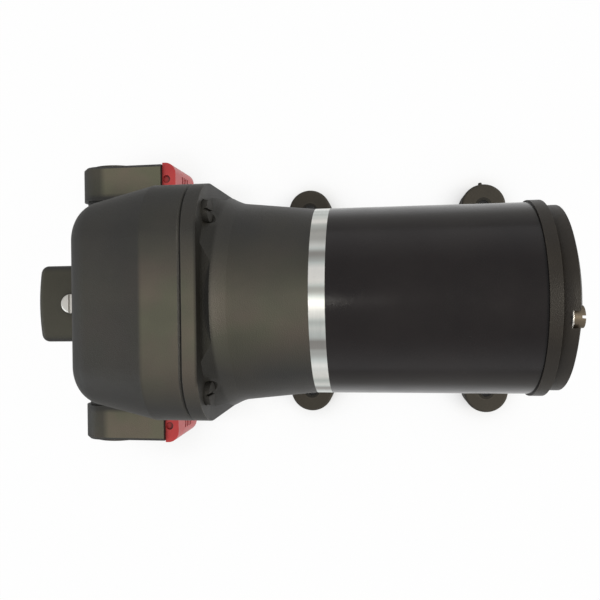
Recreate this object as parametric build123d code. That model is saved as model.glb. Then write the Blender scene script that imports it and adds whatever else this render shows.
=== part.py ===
from build123d import *
import os
from math import cos, radians, sin, sqrt

# Caravan water pump: a brushed motor drives a wobble plate with four diaphragm
# pistons. X runs along the motor, the pump head points to -X, Z is up, and the
# origin lies on the floor, in the middle of the four rubber feet. The pieces are
# drawn about the motor axis and lifted by axis_height at the end.

# Overall places
axis_height = 63.0          # motor axis above the floor
seam_x = -78.2              # parting plane between the two plastic housings
overrun = 1.0               # how far every cutter passes the face it opens
press_gap = 0.05            # parts pushed or glued together in one body
running_gap = 0.06          # radial play of a shaft, pin or slide in its bore
free_gap = 0.3              # clearance around pieces that move past each other
tip_gap = 1.0               # room past the tip of a screw in a blind hole

# Upper housing
flange_half = 45.8
flange_corner = 22.0
band_length = 14.9
nose_length = 33.1
nose_draft = 13.4
nose_round = 12.0
head_wall = 3.5
seam_chamfer = 0.7
pocket_radius = 40.5
outlet_wall_radius = 20.0
outlet_radius = 17.0
sense_hole_radius = 1.5

# Ports, one on each side
port_x = -133.0
port_z = -32.0
port_half_width = 64.6
collar_half_height = 16.0
collar_front_wall = 14.3
collar_rear_wall = 26.0
collar_length = 16.0
collar_lip = 0.8
collar_lip_reach = 8.0
collar_step = 1.6
collar_round = 9.0
collar_edge = 2.5
collar_plan_round = 6.0
port_inner_y = 20.0
seal_bore_radius = 9.5
seal_bore_length = 11.0
mouth_radius = 11.5
mouth_depth = 13.4
passage_radius = 6.0
duct_radius = 7.8
duct_bore_radius = 5.0

# Slide clips
clip_setback = 7.6
clip_thickness = 3.0
clip_leg = 2.0
clip_grip = 9.9
clip_tip_reach = 9.0
clip_play = 0.2
tab_length = 6.5
tab_width = 13.6
tab_height = 28.0
tab_round = 5.0
tab_dimple_radius = 1.8
tab_dimple_depth = 1.2
tab_groove_count = 4
tab_groove_width = 1.2
tab_groove_depth = 0.5
tab_groove_pitch = 2.6

# Valve plate and its rubber parts
diaphragm_thickness = 2.0
plate_thickness = 9.5
plate_floor = 3.0
gasket_thickness = 1.5
gasket_width = 3.0
chamber_offset = 17.5
chamber_radius = 13.0
inlet_valve_offset = 21.5
inlet_cap_radius = 6.5
inlet_cap_thickness = 1.2
valve_stem_radius = 1.5
valve_bulb_radius = 2.2
valve_bulb_length = 2.4
inlet_hole_radius = 1.7
inlet_hole_offset = 4.0
outlet_hole_radius = 2.2
outlet_hole_offset = 9.6
outlet_valve_radius = 16.2
outlet_valve_thickness = 1.5

# Wobble drive
wobble_tilt = 3.0
piston_radius = 9.5
piston_thickness = 3.0
piston_neck = 7.5
wobble_plate_thickness = 5.0
wobble_plate_step = 0.5
wobble_notch_radius = 10.0
hub_wall = 3.5
wobble_bearing_bore = 7.5
wobble_bearing_radius = 16.0
wobble_bearing_width = 9.0
bearing_ring = 2.6
shaft_radius = 4.0
shaft_setback = 1.0
shaft_chamfer = 0.5
cam_collar = 2.0
cam_collar_radius = 10.0
cam_hub_radius = 11.0
cam_hub_length = 9.0
weight_radius = 21.0
weight_thickness = 6.0
set_screw_radius = 2.0
piston_screw_radius = 1.8
piston_screw_head = 3.6

# Lower housing
rim_thickness = 6.2
groove_width = 3.9
groove_depth = 5.0
groove_half_length = 28.0
shoulder_rise = 0.4
flare_length = 9.5
flare_step = 3.0
flare_waist = 0.45
neck_setback = 0.1
housing_wall = 2.6
deck_thickness = 4.0
housing_end_x = -33.0
spigot_length = 7.0
floor_thickness = 4.0
floor_hole_radius = 16.5
spigot_setback = 4.6
head_screw_offset = 34.0
head_screw_radius = 2.4
head_screw_head = 4.2
head_screw_head_length = 3.4
head_screw_seat = 5.0
head_screw_grip = 9.0
bell_screw_offset = 18.6
bell_screw_radius = 1.9
bell_screw_head = 3.4
bell_screw_head_length = 2.4

# Motor
motor_radius = 38.0
shell_wall = 2.2
band_width = 6.0
shell_length = 77.0
bell_web = 5.0
bell_wall = 3.6
bell_lip = 6.0
bearing_bore = 4.0
bearing_radius = 11.0
bearing_width = 7.0
bearing_recess = 1.0
ball_race = 2.0
bearing_boss_wall = 3.0
magnet_thickness = 6.2
magnet_overhang = 3.0
magnet_half_angle = 62.0
air_gap = 0.75
core_start = 15.0
slot_count = 12
slot_width = 2.4
slot_depth = 9.0
coil_length = 9.5
coil_setback = 3.35
coil_inner_radius = 9.0
coil_round = 3.0
coil_bite = 1.0
commutator_radius = 11.0
commutator_length = 12.0
commutator_gap = 1.0
commutator_overhang = 0.5
commutator_slot = 0.8
commutator_slot_depth = 2.5
brush_tube_gap = 5.8
brush_width = 8.0
brush_height = 6.0
brush_wall = 1.5
brush_spring_room = 4.5
card_thickness = 2.0
card_hole_radius = 14.0
spring_wire = 0.8
brush_spring_turns = 3

# Rear cap
cap_overhang = 0.8
cap_rim_width = 4.5
cap_setback = 1.4
cap_crown_radius = 100.0
cap_edge_radius = 9.0
cap_length = 17.6
cap_wall = 3.0
bolt_angle = 12.0
bolt_setback = 5.7
bolt_recess = 9.6
bolt_radius = 2.0
bolt_head_radius = 4.0
bolt_head_length = 4.5
bolt_pocket_radius = 5.2
bolt_boss_radius = 4.6
bolt_thread = 5.0
grommet_hole_radius = 3.0
grommet_flange_radius = 3.4
grommet_flange = 1.6
grommet_bore_radius = 1.8
lead_boss_length = 8.6
lead_boss_width = 10.0

# Base and feet
foot_spacing_x = 84.0
foot_spacing_y = 89.0
foot_radius = 10.4
foot_height = 14.0
foot_cap = 3.5
foot_neck_radius = 6.5
foot_waist = 1.2
sleeve_radius = 4.0
sleeve_bore = 2.75
base_sheet = 2.0
base_x_start = -52.0
base_x_end = 52.0
base_half_width = 34.0
saddle_x_start = -22.0
saddle_x_end = 45.0
saddle_half_angle = 24.0
ear_radius = 9.0
base_screw_x = -12.0
base_screw_pitch = 46.0
base_screw_radius = 1.9
base_screw_head = 3.6
base_screw_head_length = 2.2

# Pressure switch on the nose
switch_z = -17.5
switch_half_width = 17.0
switch_half_height = 17.0
switch_length = 32.2
switch_crown = 2.4
switch_corner = 4.0
switch_edge = 3.0
switch_wall = 2.0
switch_body_length = 19.5
switch_disc_radius = 9.6
switch_disc_thickness = 1.8
switch_boss_radius = 7.5
switch_boss_length = 10.0
plunger_radius = 7.0
plunger_thickness = 4.0
plunger_stem_radius = 2.0
plunger_travel = 1.0
adjuster_radius = 6.0
adjuster_length = 6.0
adjuster_setback = 3.0
switch_spring_turns = 4
adjuster_slot = 1.4
adjuster_slot_depth = 2.0
arm_width = 4.0
arm_thickness = 2.0
arm_y = 6.0
micro_width = 20.0
micro_height = 5.8
micro_length = 9.8
terminal_width = 4.0
terminal_length = 3.0
terminal_thickness = 0.8
cover_screw_radius = 1.6
cover_screw_length = 8.0
cover_screw_head = 4.2
cover_screw_head_length = 2.2
switch_screw_radius = 1.8
switch_screw_head = 3.2
switch_screw_head_length = 2.0
drive_slot = 1.0
drive_depth = 1.2

# Places worked out from the sizes above, from the nose to the rear
band_x = seam_x - band_length
nose_x = band_x - nose_length
plate_back_x = seam_x - diaphragm_thickness
plate_front_x = plate_back_x - plate_thickness
ledge_x = plate_front_x - gasket_thickness
chamber_floor_x = plate_front_x + plate_floor
deck_x = seam_x + deck_thickness
wobble_front_x = seam_x + piston_neck
hub_start_x = wobble_front_x + wobble_plate_thickness
hub_end_x = hub_start_x + free_gap + wobble_bearing_width
cam_end_x = hub_end_x + cam_collar
pivot_x = seam_x - diaphragm_thickness / 2
cam_start_x = cam_end_x + free_gap
cam_rear_x = cam_start_x + cam_hub_length
rim_back_x = seam_x + rim_thickness
groove_end_x = rim_back_x + groove_width
shoulder_radius = flange_half + shoulder_rise
flare_radius = motor_radius + flare_step
neck_radius = motor_radius - neck_setback
spigot_radius = motor_radius - spigot_setback
spigot_x = housing_end_x - spigot_length
floor_x = spigot_x - floor_thickness
shell_x = housing_end_x + band_width
shell_end_x = shell_x + shell_length
shell_inner = motor_radius - shell_wall
boss_radius = bearing_radius + bearing_boss_wall
front_bearing_x = spigot_x + bearing_recess
core_x = shell_x + core_start
commutator_x = shell_end_x + commutator_overhang - commutator_length
core_end_x = commutator_x - commutator_gap - coil_length
core_radius = shell_inner - magnet_thickness - air_gap
coil_radius = core_radius - coil_setback
magnet_x = core_x - magnet_overhang
magnet_end_x = core_end_x + magnet_overhang
brush_tube_end = shell_inner - brush_tube_gap
brush_end = brush_tube_end - brush_wall - brush_spring_room
bolt_circle_radius = motor_radius - bolt_setback
cap_rim_radius = motor_radius + cap_overhang
cap_radius = motor_radius - cap_setback
rear_bearing_x = shell_end_x + cap_rim_width
cap_end_x = shell_end_x + cap_length
cap_inner_x = cap_end_x - cap_wall
bolt_seat_x = cap_end_x - bolt_recess
lead_x = shell_end_x + lead_boss_length / 2
card_x = shell_end_x
foot_bottom_z = -axis_height
foot_top_z = foot_bottom_z + foot_height
ear_top_z = foot_top_z - foot_cap
ear_bottom_z = ear_top_z - base_sheet
socket_y = port_half_width - mouth_depth
socket_end_y = socket_y - seal_bore_length
collar_face_y = port_half_width - collar_lip
passage_y = port_inner_y + head_wall + passage_radius
clip_y = port_half_width - clip_setback
tab_inner_y = port_half_width - tab_width
clip_leg_inner = mouth_radius + clip_play
clip_half_height = clip_leg_inner + clip_leg
collar_back_x = port_x + collar_rear_wall
clip_end_x = collar_back_x + tab_length
switch_front_x = nose_x - switch_length
switch_top_z = switch_z + switch_half_height + switch_crown / 2
switch_body_x = nose_x - switch_body_length
plunger_x = nose_x - switch_disc_thickness - plunger_thickness
switch_boss_x = switch_body_x - switch_boss_length
adjuster_x = switch_boss_x + adjuster_setback
micro_x = switch_body_x - free_gap - micro_length
switch_screw_end_x = nose_x + head_wall - head_wall / 5


def rod_x(start, end, radius, y=0, z=0):
    """Round bar along X."""
    return Pos((start + end) / 2, y, z) * Rot(0, 90, 0) * Cylinder(radius, end - start)


def rod_y(start, end, radius, x=0, z=0):
    """Round bar along Y."""
    return Pos(x, (start + end) / 2, z) * Rot(90, 0, 0) * Cylinder(radius, end - start)


def rod_z(start, end, radius, x=0, y=0):
    """Round bar along Z."""
    return Pos(x, y, (start + end) / 2) * Cylinder(radius, end - start)


def slab(x_range, y_range, z_range):
    """Box between two places on each axis."""
    middle = [(low + high) / 2 for low, high in (x_range, y_range, z_range)]
    size = [high - low for low, high in (x_range, y_range, z_range)]
    return Pos(*middle) * Box(*size)


def ring_x(start, end, outer, inner, y=0, z=0):
    """Tube along X."""
    return rod_x(start, end, outer, y, z) - rod_x(start - overrun, end + overrun, inner, y, z)


def square_prism(start, end, half, corner, draft=0):
    """Rounded square bar along X, narrowing towards its end by the draft."""
    plane = Plane(origin=(start, 0, 0), x_dir=(0, 1, 0), z_dir=(1 if end > start else -1, 0, 0))
    return extrude(plane * RectangleRounded(2 * half, 2 * half, corner), abs(end - start), taper=draft)


def corners(offset):
    """The four places of a square pattern about the motor axis."""
    return [(y * offset, z * offset) for y, z in ((1, 1), (-1, 1), (-1, -1), (1, -1))]


def feet_places():
    """The four places of the feet."""
    x = foot_spacing_x / 2
    y = foot_spacing_y / 2
    return [(x, y), (-x, y), (-x, -y), (x, -y)]


def bolt_places():
    """Where the two long bolts run through the motor."""
    y = bolt_circle_radius * sin(radians(bolt_angle))
    z = bolt_circle_radius * cos(radians(bolt_angle))
    return [(-y, z), (y, -z)]


def tilted(shape):
    """Set a piece of the wobble plate at the angle the cam holds it at."""
    return Pos(pivot_x, 0, 0) * Rot(0, wobble_tilt, 0) * Pos(-pivot_x, 0, 0) * shape


def group(shapes):
    """Identical pieces that share one node."""
    return Compound(children=list(shapes))


def screw_x(seat, tip, radius, head_radius, head_length, y, z):
    """Screw along X with a slotted pan head on the far side of its seat."""
    toward = 1 if seat > tip else -1
    shank = rod_x(min(seat, tip), max(seat, tip), radius, y, z)
    top = seat + toward * head_length
    head = rod_x(min(seat, top), max(seat, top), head_radius, y, z)
    bottom = top - toward * drive_depth
    slot = slab(
        (min(bottom, top + toward * overrun), max(bottom, top + toward * overrun)),
        (y - drive_slot / 2, y + drive_slot / 2),
        (z - head_radius, z + head_radius),
    )
    return shank + (head - slot)


def port_collar(side):
    """Outer end of one port, a wide collar with a rounded front."""
    front = port_x - collar_front_wall
    back = collar_back_x
    inner = collar_face_y - collar_length
    low = port_z - collar_half_height
    high = port_z + collar_half_height
    collar = slab((front, back), (inner, collar_face_y), (low, high))
    front_edges = collar.edges().filter_by(Axis.Y).sort_by(Axis.X)[0:2]
    collar = fillet(front_edges, collar_round)
    face_edges = collar.faces().sort_by(Axis.Y)[-1].edges().filter_by(Axis.Z, reverse=True)
    collar = chamfer(face_edges, collar_edge / 2)
    plan = slab((front, back + overrun), (inner - overrun, port_half_width), (low, high))
    plan = fillet(plan.edges().filter_by(Axis.Z).group_by(Axis.X)[0].sort_by(Axis.Y)[-1], collar_plan_round)
    collar = collar & plan
    lip = rod_y(collar_face_y - overrun, port_half_width, collar_half_height - collar_edge, port_x, port_z)
    lip = lip & slab((front, port_x + collar_lip_reach), (0, port_half_width + overrun), (low, high)) & plan
    neck = slab(
        (front + collar_step, back - collar_step),
        (port_inner_y, inner + overrun),
        (low + collar_step, high - collar_step),
    )
    neck_edges = neck.edges().filter_by(Axis.Y).sort_by(Axis.X)[0:2]
    neck = fillet(neck_edges, collar_round - collar_step)
    whole = collar + lip + neck
    return whole if side > 0 else mirror(whole, Plane.XZ)


def port_bore(side):
    """Everything that is bored or slotted out of one port."""
    end = port_half_width + overrun
    bore = rod_y(socket_end_y, end, seal_bore_radius, port_x, port_z)
    mouth = rod_y(socket_y, end, mouth_radius, port_x, port_z)
    passage = rod_y(port_inner_y + head_wall, socket_end_y + overrun, passage_radius, port_x, port_z)
    slot = slab(
        (port_x - clip_tip_reach - clip_play, collar_back_x + overrun),
        (clip_y - clip_thickness / 2 - clip_play, clip_y + clip_thickness / 2 + clip_play),
        (port_z - clip_half_height - clip_play, port_z + clip_half_height + clip_play),
    )
    cutter = bore + mouth + passage + slot
    return cutter if side > 0 else mirror(cutter, Plane.XZ)


def inclined_rod(start, end, radius):
    """Round bar between two points."""
    direction = Vector(*end) - Vector(*start)
    plane = Plane(origin=start, z_dir=direction)
    return extrude(plane * Circle(radius), direction.length)


def upper_housing():
    """Drafted nose with the two port collars, the valve chambers and the switch seat."""
    shell = square_prism(seam_x, band_x, flange_half, flange_corner)
    shell = chamfer(shell.faces().sort_by(Axis.X)[-1].edges(), seam_chamfer)
    nose = square_prism(band_x, nose_x, flange_half, flange_corner, nose_draft)
    nose = fillet(nose.faces().sort_by(Axis.X)[0].edges(), nose_round)
    outside = shell + nose + port_collar(1) + port_collar(-1)
    inner_half = flange_half - head_wall
    inlet = square_prism(band_x, nose_x + head_wall, inner_half, flange_corner - head_wall, nose_draft)
    inlet = inlet + rod_x(band_x - overrun, ledge_x, pocket_radius - gasket_width)
    outlet_wall = rod_x(nose_x + head_wall / 2, plate_front_x, outlet_wall_radius)
    duct_start = (nose_x + head_wall + passage_radius, -outlet_radius / 2, -outlet_radius / 2)
    duct_end = (port_x, -passage_y, port_z)
    duct = inclined_rod(duct_start, duct_end, duct_radius) & outside
    housing = outside - inlet + outlet_wall + duct
    housing = housing - rod_x(nose_x + head_wall, ledge_x + overrun, outlet_radius)
    housing = housing - rod_x(ledge_x, seam_x + overrun, pocket_radius)
    housing = housing - port_bore(1) - port_bore(-1)
    inlet_hole = rod_x(port_x, nose_x + 2 * passage_radius, duct_bore_radius, passage_y, port_z)
    duct_bore = inclined_rod(duct_start, duct_end, duct_bore_radius)
    sense_z = (switch_z + switch_disc_radius - outlet_radius) / 2
    sense_hole = rod_x(nose_x - overrun, nose_x + head_wall + overrun, sense_hole_radius, 0, sense_z)
    housing = housing - inlet_hole - duct_bore - sense_hole
    for y, z in corners(head_screw_offset):
        housing = housing - rod_x(seam_x - head_screw_grip, seam_x + overrun, head_screw_radius, y, z)
    for y in switch_screw_places():
        housing = housing - rod_x(nose_x - overrun, switch_screw_end_x, switch_screw_radius, y, switch_z)
    return housing


def switch_screw_places():
    """The two fixing screws of the switch lie left and right of its axis."""
    y = switch_disc_radius + switch_screw_radius + press_gap
    return [y, -y]


def port_clip(side):
    """Slide clip: a fork that holds the port fitting, with a thumb tab behind."""
    low = clip_y - clip_thickness / 2
    high = clip_y + clip_thickness / 2
    tip_x = port_x - clip_tip_reach
    fork = slab(
        (tip_x, collar_back_x + tab_length / 2),
        (low, high),
        (port_z - clip_half_height, port_z + clip_half_height),
    )
    gap = slab(
        (tip_x - overrun, port_x),
        (low - overrun, high + overrun),
        (port_z - clip_leg_inner, port_z + clip_leg_inner),
    )
    grip = rod_y(low - overrun, high + overrun, clip_grip, port_x, port_z)
    fork = fork - gap - grip
    tab = slab(
        (collar_back_x + clip_play, clip_end_x),
        (tab_inner_y, port_half_width),
        (port_z - tab_height / 2, port_z + tab_height / 2),
    )
    outer_edge = tab.edges().filter_by(Axis.Z).group_by(Axis.X)[-1].sort_by(Axis.Y)[-1]
    tab = fillet(outer_edge, tab_round)
    dimple_x = collar_back_x + tab_length / 3
    dimple_top = port_z + tab_height / 2
    dimple = rod_z(dimple_top - tab_dimple_depth, dimple_top + overrun, tab_dimple_radius, dimple_x, clip_y)
    clip = fork + tab - dimple
    for number in range(tab_groove_count):
        groove_z = port_z + (number - (tab_groove_count - 1) / 2) * tab_groove_pitch
        groove = slab(
            (clip_end_x - tab_groove_depth, clip_end_x + overrun),
            (tab_inner_y - overrun, port_half_width - tab_round),
            (groove_z - tab_groove_width / 2, groove_z + tab_groove_width / 2),
        )
        clip = clip - groove
    return clip if side > 0 else mirror(clip, Plane.XZ)


def inlet_holes(y, z):
    """Two flow holes on either side of an inlet valve's stem."""
    share = inlet_hole_offset / sqrt(y * y + z * z)
    return [(y - z * share, z + y * share), (y + z * share, z - y * share)]


def valve_plate():
    """Round plate with four pump chambers, and holes for the inlet and outlet valves."""
    start = plate_front_x - overrun
    plate = rod_x(plate_front_x, plate_back_x, pocket_radius - press_gap)
    for y, z in corners(chamber_offset):
        plate = plate - rod_x(chamber_floor_x, plate_back_x + overrun, chamber_radius, y, z)
    for y, z in corners(outlet_hole_offset):
        plate = plate - rod_x(start, chamber_floor_x + overrun, outlet_hole_radius, y, z)
    for y, z in corners(inlet_valve_offset):
        plate = plate - rod_x(start, chamber_floor_x + overrun, valve_stem_radius, y, z)
        for hole_y, hole_z in inlet_holes(y, z):
            plate = plate - rod_x(start, chamber_floor_x + overrun, inlet_hole_radius, hole_y, hole_z)
    return plate - rod_x(start, plate_back_x + overrun, valve_stem_radius)


def inlet_valves():
    """Four rubber mushroom valves, each pulled through the plate by its stem."""
    valves = []
    for y, z in corners(inlet_valve_offset):
        cap = rod_x(chamber_floor_x, chamber_floor_x + inlet_cap_thickness, inlet_cap_radius, y, z)
        stem = rod_x(plate_front_x - valve_bulb_length / 2, chamber_floor_x, valve_stem_radius, y, z)
        bulb = rod_x(plate_front_x - valve_bulb_length, plate_front_x, valve_bulb_radius, y, z)
        valves.append(cap + stem + bulb)
    return group(valves)


def outlet_valve():
    """Rubber disc over the four outlet holes, held by a stem in the middle."""
    disc = rod_x(plate_front_x - outlet_valve_thickness, plate_front_x, outlet_valve_radius)
    stem = rod_x(plate_front_x, plate_back_x, valve_stem_radius)
    return disc + stem


def valve_gasket():
    """Flat ring that seals the valve plate on its ledge."""
    return ring_x(ledge_x, plate_front_x, pocket_radius - press_gap, pocket_radius - gasket_width)


def diaphragm():
    """Clamped rim of the diaphragm, with an opening for each piston."""
    sheet = rod_x(plate_back_x, seam_x, pocket_radius - press_gap)
    for y, z in corners(chamber_offset):
        sheet = sheet - rod_x(plate_back_x - overrun, seam_x + overrun, chamber_radius, y, z)
    return sheet


def diaphragm_centres():
    """The four parts of the diaphragm that move with the pistons."""
    discs = []
    for y, z in corners(chamber_offset):
        disc = rod_x(plate_back_x, seam_x, chamber_radius - 2 * free_gap, y, z)
        hole = rod_x(plate_back_x - overrun, seam_x + overrun, piston_screw_radius, y, z)
        discs.append(tilted(disc - hole))
    return group(discs)


def outer_pistons():
    """Four discs that clamp the diaphragm from the chamber side."""
    discs = []
    front = plate_back_x - piston_thickness
    for y, z in corners(chamber_offset):
        disc = rod_x(front, plate_back_x, piston_radius, y, z)
        disc = disc - rod_x(front - overrun, plate_back_x + overrun, piston_screw_radius, y, z)
        sink = Pos(front + piston_screw_radius / 2, y, z) * Rot(0, 90, 0)
        sink = sink * Cone(piston_screw_head, piston_screw_radius, piston_screw_radius)
        discs.append(tilted(disc - sink))
    return group(discs)


def piston_screws():
    """Countersunk screws from the chamber side into the inner pistons."""
    screws = []
    front = plate_back_x - piston_thickness
    for y, z in corners(chamber_offset):
        head = Pos(front + piston_screw_radius / 2, y, z) * Rot(0, 90, 0)
        head = head * Cone(piston_screw_head, piston_screw_radius, piston_screw_radius)
        shank = rod_x(front + piston_screw_radius, wobble_front_x, piston_screw_radius, y, z)
        slot = slab(
            (front - overrun, front + drive_depth / 2),
            (y - piston_screw_radius, y + piston_screw_radius),
            (z - drive_slot / 2, z + drive_slot / 2),
        )
        screws.append(tilted(head + shank - slot))
    return group(screws)


def wobble_plate():
    """Plate with four inner pistons in front and the bearing hub behind."""
    half = chamber_offset + piston_radius - wobble_plate_step
    plate = square_prism(wobble_front_x, hub_start_x, half, piston_radius - wobble_plate_step)
    for angle in (0, 90, 180, 270):
        notch_y = half + hub_wall
        notch = rod_x(wobble_front_x - overrun, hub_start_x + overrun, wobble_notch_radius, notch_y)
        plate = plate - Rot(angle, 0, 0) * notch
    hub_radius = wobble_bearing_radius + hub_wall
    inside_x = wobble_front_x + wobble_plate_step
    plate = plate + rod_x(inside_x, hub_end_x, hub_radius)
    for y, z in corners(chamber_offset):
        plate = plate + rod_x(seam_x, inside_x, piston_radius, y, z)
    for y, z in corners(chamber_offset):
        plate = plate - rod_x(seam_x - overrun, wobble_front_x, piston_screw_radius, y, z)
    bore = rod_x(hub_start_x, hub_end_x + overrun, wobble_bearing_radius)
    return tilted(plate - bore)


def wobble_bearing_outer():
    """Outer ring of the wobble bearing, pressed into the hub."""
    inner = wobble_bearing_radius - bearing_ring
    ring = ring_x(hub_start_x + free_gap, hub_end_x, wobble_bearing_radius - press_gap, inner)
    return tilted(ring)


def wobble_bearing_inner():
    """Inner ring of the wobble bearing with its seals, pressed on the cam."""
    outer = wobble_bearing_radius - bearing_ring - running_gap
    ring = ring_x(hub_start_x + free_gap, hub_end_x, outer, wobble_bearing_bore)
    return tilted(ring)


def drive_cam():
    """Cam whose bearing seat is tilted against the shaft, with a balance weight."""
    seat = rod_x(hub_start_x + free_gap, cam_end_x, wobble_bearing_bore - press_gap)
    collar = rod_x(hub_end_x, cam_end_x, cam_collar_radius)
    cam = tilted(seat + collar)
    hub = rod_x(cam_end_x - cam_collar / 2, cam_rear_x, cam_hub_radius)
    weight = rod_x(cam_rear_x - weight_thickness, cam_rear_x, weight_radius)
    weight = weight & slab(
        (cam_rear_x - weight_thickness, cam_rear_x), (-weight_radius, weight_radius), (0, weight_radius)
    )
    cam = cam + hub + weight
    bore = rod_x(hub_start_x - overrun, cam_rear_x + overrun, shaft_radius + press_gap)
    hole = rod_z(-cam_hub_radius - overrun, 0, set_screw_radius, cam_rear_x - weight_thickness / 2)
    return cam - bore - hole


def cam_set_screw():
    """Grub screw that locks the cam on the shaft."""
    x = cam_rear_x - weight_thickness / 2
    low = -cam_hub_radius + free_gap
    screw = rod_z(low, -shaft_radius - press_gap, set_screw_radius - press_gap, x)
    slot = slab(
        (x - set_screw_radius, x + set_screw_radius),
        (-drive_slot / 2, drive_slot / 2),
        (low - overrun, low + drive_depth),
    )
    return screw - slot


def lower_housing():
    """Square flange that flares down to the round motor, with a deck for the pistons."""
    rim = square_prism(seam_x, rim_back_x, flange_half, flange_corner)
    rim = chamfer(rim.faces().sort_by(Axis.X)[0].edges(), seam_chamfer)
    flare_end = rim_back_x + flare_length
    middle = (rim_back_x + flare_length / 2 - flare_waist, (shoulder_radius + flare_radius) / 2 - flare_waist)
    edges = [
        Line((deck_x, 0), (deck_x, shoulder_radius)),
        Line((deck_x, shoulder_radius), (rim_back_x, shoulder_radius)),
        ThreePointArc((rim_back_x, shoulder_radius), middle, (flare_end, flare_radius)),
        Line((flare_end, flare_radius), (housing_end_x, neck_radius)),
        Line((housing_end_x, neck_radius), (housing_end_x, 0)),
        Line((housing_end_x, 0), (deck_x, 0)),
    ]
    neck = revolve(make_face(edges), Axis.X)
    neck = neck & square_prism(seam_x, housing_end_x + overrun, flange_half, flange_corner)
    housing = rim + neck
    for angle in (0, 90, 180, 270):
        groove = slab(
            (rim_back_x, groove_end_x),
            (-groove_half_length, groove_half_length),
            (flange_half - groove_depth, flange_half + overrun),
        )
        housing = housing - Rot(angle, 0, 0) * groove
    housing = housing - rod_x(deck_x, floor_x, neck_radius - housing_wall)
    housing = housing - rod_x(floor_x - overrun, spigot_x + overrun, floor_hole_radius)
    housing = housing - rod_x(spigot_x, housing_end_x + overrun, spigot_radius)
    for y, z in corners(chamber_offset):
        housing = housing - rod_x(seam_x - overrun, deck_x + overrun, chamber_radius, y, z)
    for y, z in corners(head_screw_offset):
        shank_end = rim_back_x + overrun
        housing = housing - rod_x(seam_x - overrun, shank_end, head_screw_radius + press_gap, y, z)
        sink_start = seam_x + head_screw_seat
        housing = housing - rod_x(sink_start, flare_end, head_screw_head + free_gap, y, z)
    for y, z in corners(bell_screw_offset):
        hole_radius = bell_screw_radius + press_gap
        housing = housing - rod_x(floor_x - overrun, spigot_x + overrun, hole_radius, y, z)
    return housing


def head_screws():
    """Screws from the motor side that hold the two housings together."""
    seat = seam_x + head_screw_seat
    tip = seam_x - head_screw_grip + tip_gap
    radius = head_screw_radius - press_gap
    places = corners(head_screw_offset)
    return group(
        screw_x(seat, tip, radius, head_screw_head, head_screw_head_length, y, z) for y, z in places
    )


def bell_screws():
    """Screws that hold the lower housing on the motor's front bell."""
    tip = spigot_x + bell_web
    radius = bell_screw_radius - press_gap
    places = corners(bell_screw_offset)
    return group(
        screw_x(floor_x, tip, radius, bell_screw_head, bell_screw_head_length, y, z) for y, z in places
    )


def front_bell():
    """Cast aluminium end of the motor; its bare rim is the bright band."""
    lip_radius = shell_inner - press_gap
    lip_end = shell_x + bell_lip
    web_end = spigot_x + bell_web
    bell = rod_x(spigot_x + press_gap, housing_end_x, spigot_radius - press_gap)
    bell = bell + rod_x(housing_end_x, shell_x, motor_radius) + rod_x(shell_x, lip_end, lip_radius)
    hollow = ring_x(web_end, lip_end + overrun, lip_radius - bell_wall, boss_radius)
    hollow = hollow + rod_x(front_bearing_x + bearing_width, lip_end + overrun, boss_radius)
    for y, z in bolt_places():
        hollow = hollow - rod_x(spigot_x, lip_end + 2 * overrun, bolt_boss_radius, y, z)
    bell = bell - hollow
    bell = bell - rod_x(front_bearing_x, shell_x, bearing_radius + press_gap)
    bell = bell - rod_x(spigot_x - overrun, web_end, shaft_radius + ball_race)
    for y, z in bolt_places():
        bell = bell - rod_x(shell_x - bolt_thread, lip_end + overrun, bolt_radius, y, z)
    for y, z in corners(bell_screw_offset):
        bell = bell - rod_x(spigot_x - overrun, web_end + overrun, bell_screw_radius, y, z)
    return bell


def bearing_outer(start):
    """Outer ring of a motor bearing."""
    return ring_x(start, start + bearing_width, bearing_radius, bearing_radius - ball_race)


def bearing_inner(start):
    """Inner ring of a motor bearing with its shields."""
    outer = bearing_radius - ball_race - running_gap
    return ring_x(start, start + bearing_width, outer, bearing_bore + press_gap)


def motor_shell():
    """Drawn steel tube of the motor."""
    shell = ring_x(shell_x, shell_end_x, motor_radius, shell_inner)
    for x in base_screw_places():
        shell = shell - rod_z(-motor_radius - overrun, 0, base_screw_radius, x)
    return shell


def magnets():
    """Two arc magnets glued inside the shell."""
    outer = shell_inner - press_gap
    ring = ring_x(magnet_x, magnet_end_x, outer, shell_inner - magnet_thickness)
    reach = outer * 2
    pieces = []
    for turn in (0, 180):
        wedge_points = [(0, 0)]
        wedge_points += [
            (reach * cos(radians(a)), reach * sin(radians(a)))
            for a in (-magnet_half_angle, 0, magnet_half_angle)
        ]
        plane = Plane(origin=(magnet_x - overrun, 0, 0), x_dir=(0, 1, 0), z_dir=(1, 0, 0))
        length = magnet_end_x - magnet_x + 2 * overrun
        wedge = extrude(plane * make_face(Polyline(*wedge_points, close=True)), length)
        pieces.append(Rot(turn, 0, 0) * wedge & ring)
    return group(pieces)


def armature_core():
    """Stack of steel sheets with one slot for each winding."""
    core = ring_x(core_x, core_end_x, core_radius, shaft_radius + press_gap)
    for number in range(slot_count):
        slot = slab(
            (core_x - overrun, core_end_x + overrun),
            (-slot_width / 2, slot_width / 2),
            (core_radius - slot_depth, core_radius + overrun),
        )
        core = core - Rot(number * 360 / slot_count, 0, 0) * slot
    return core


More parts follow.
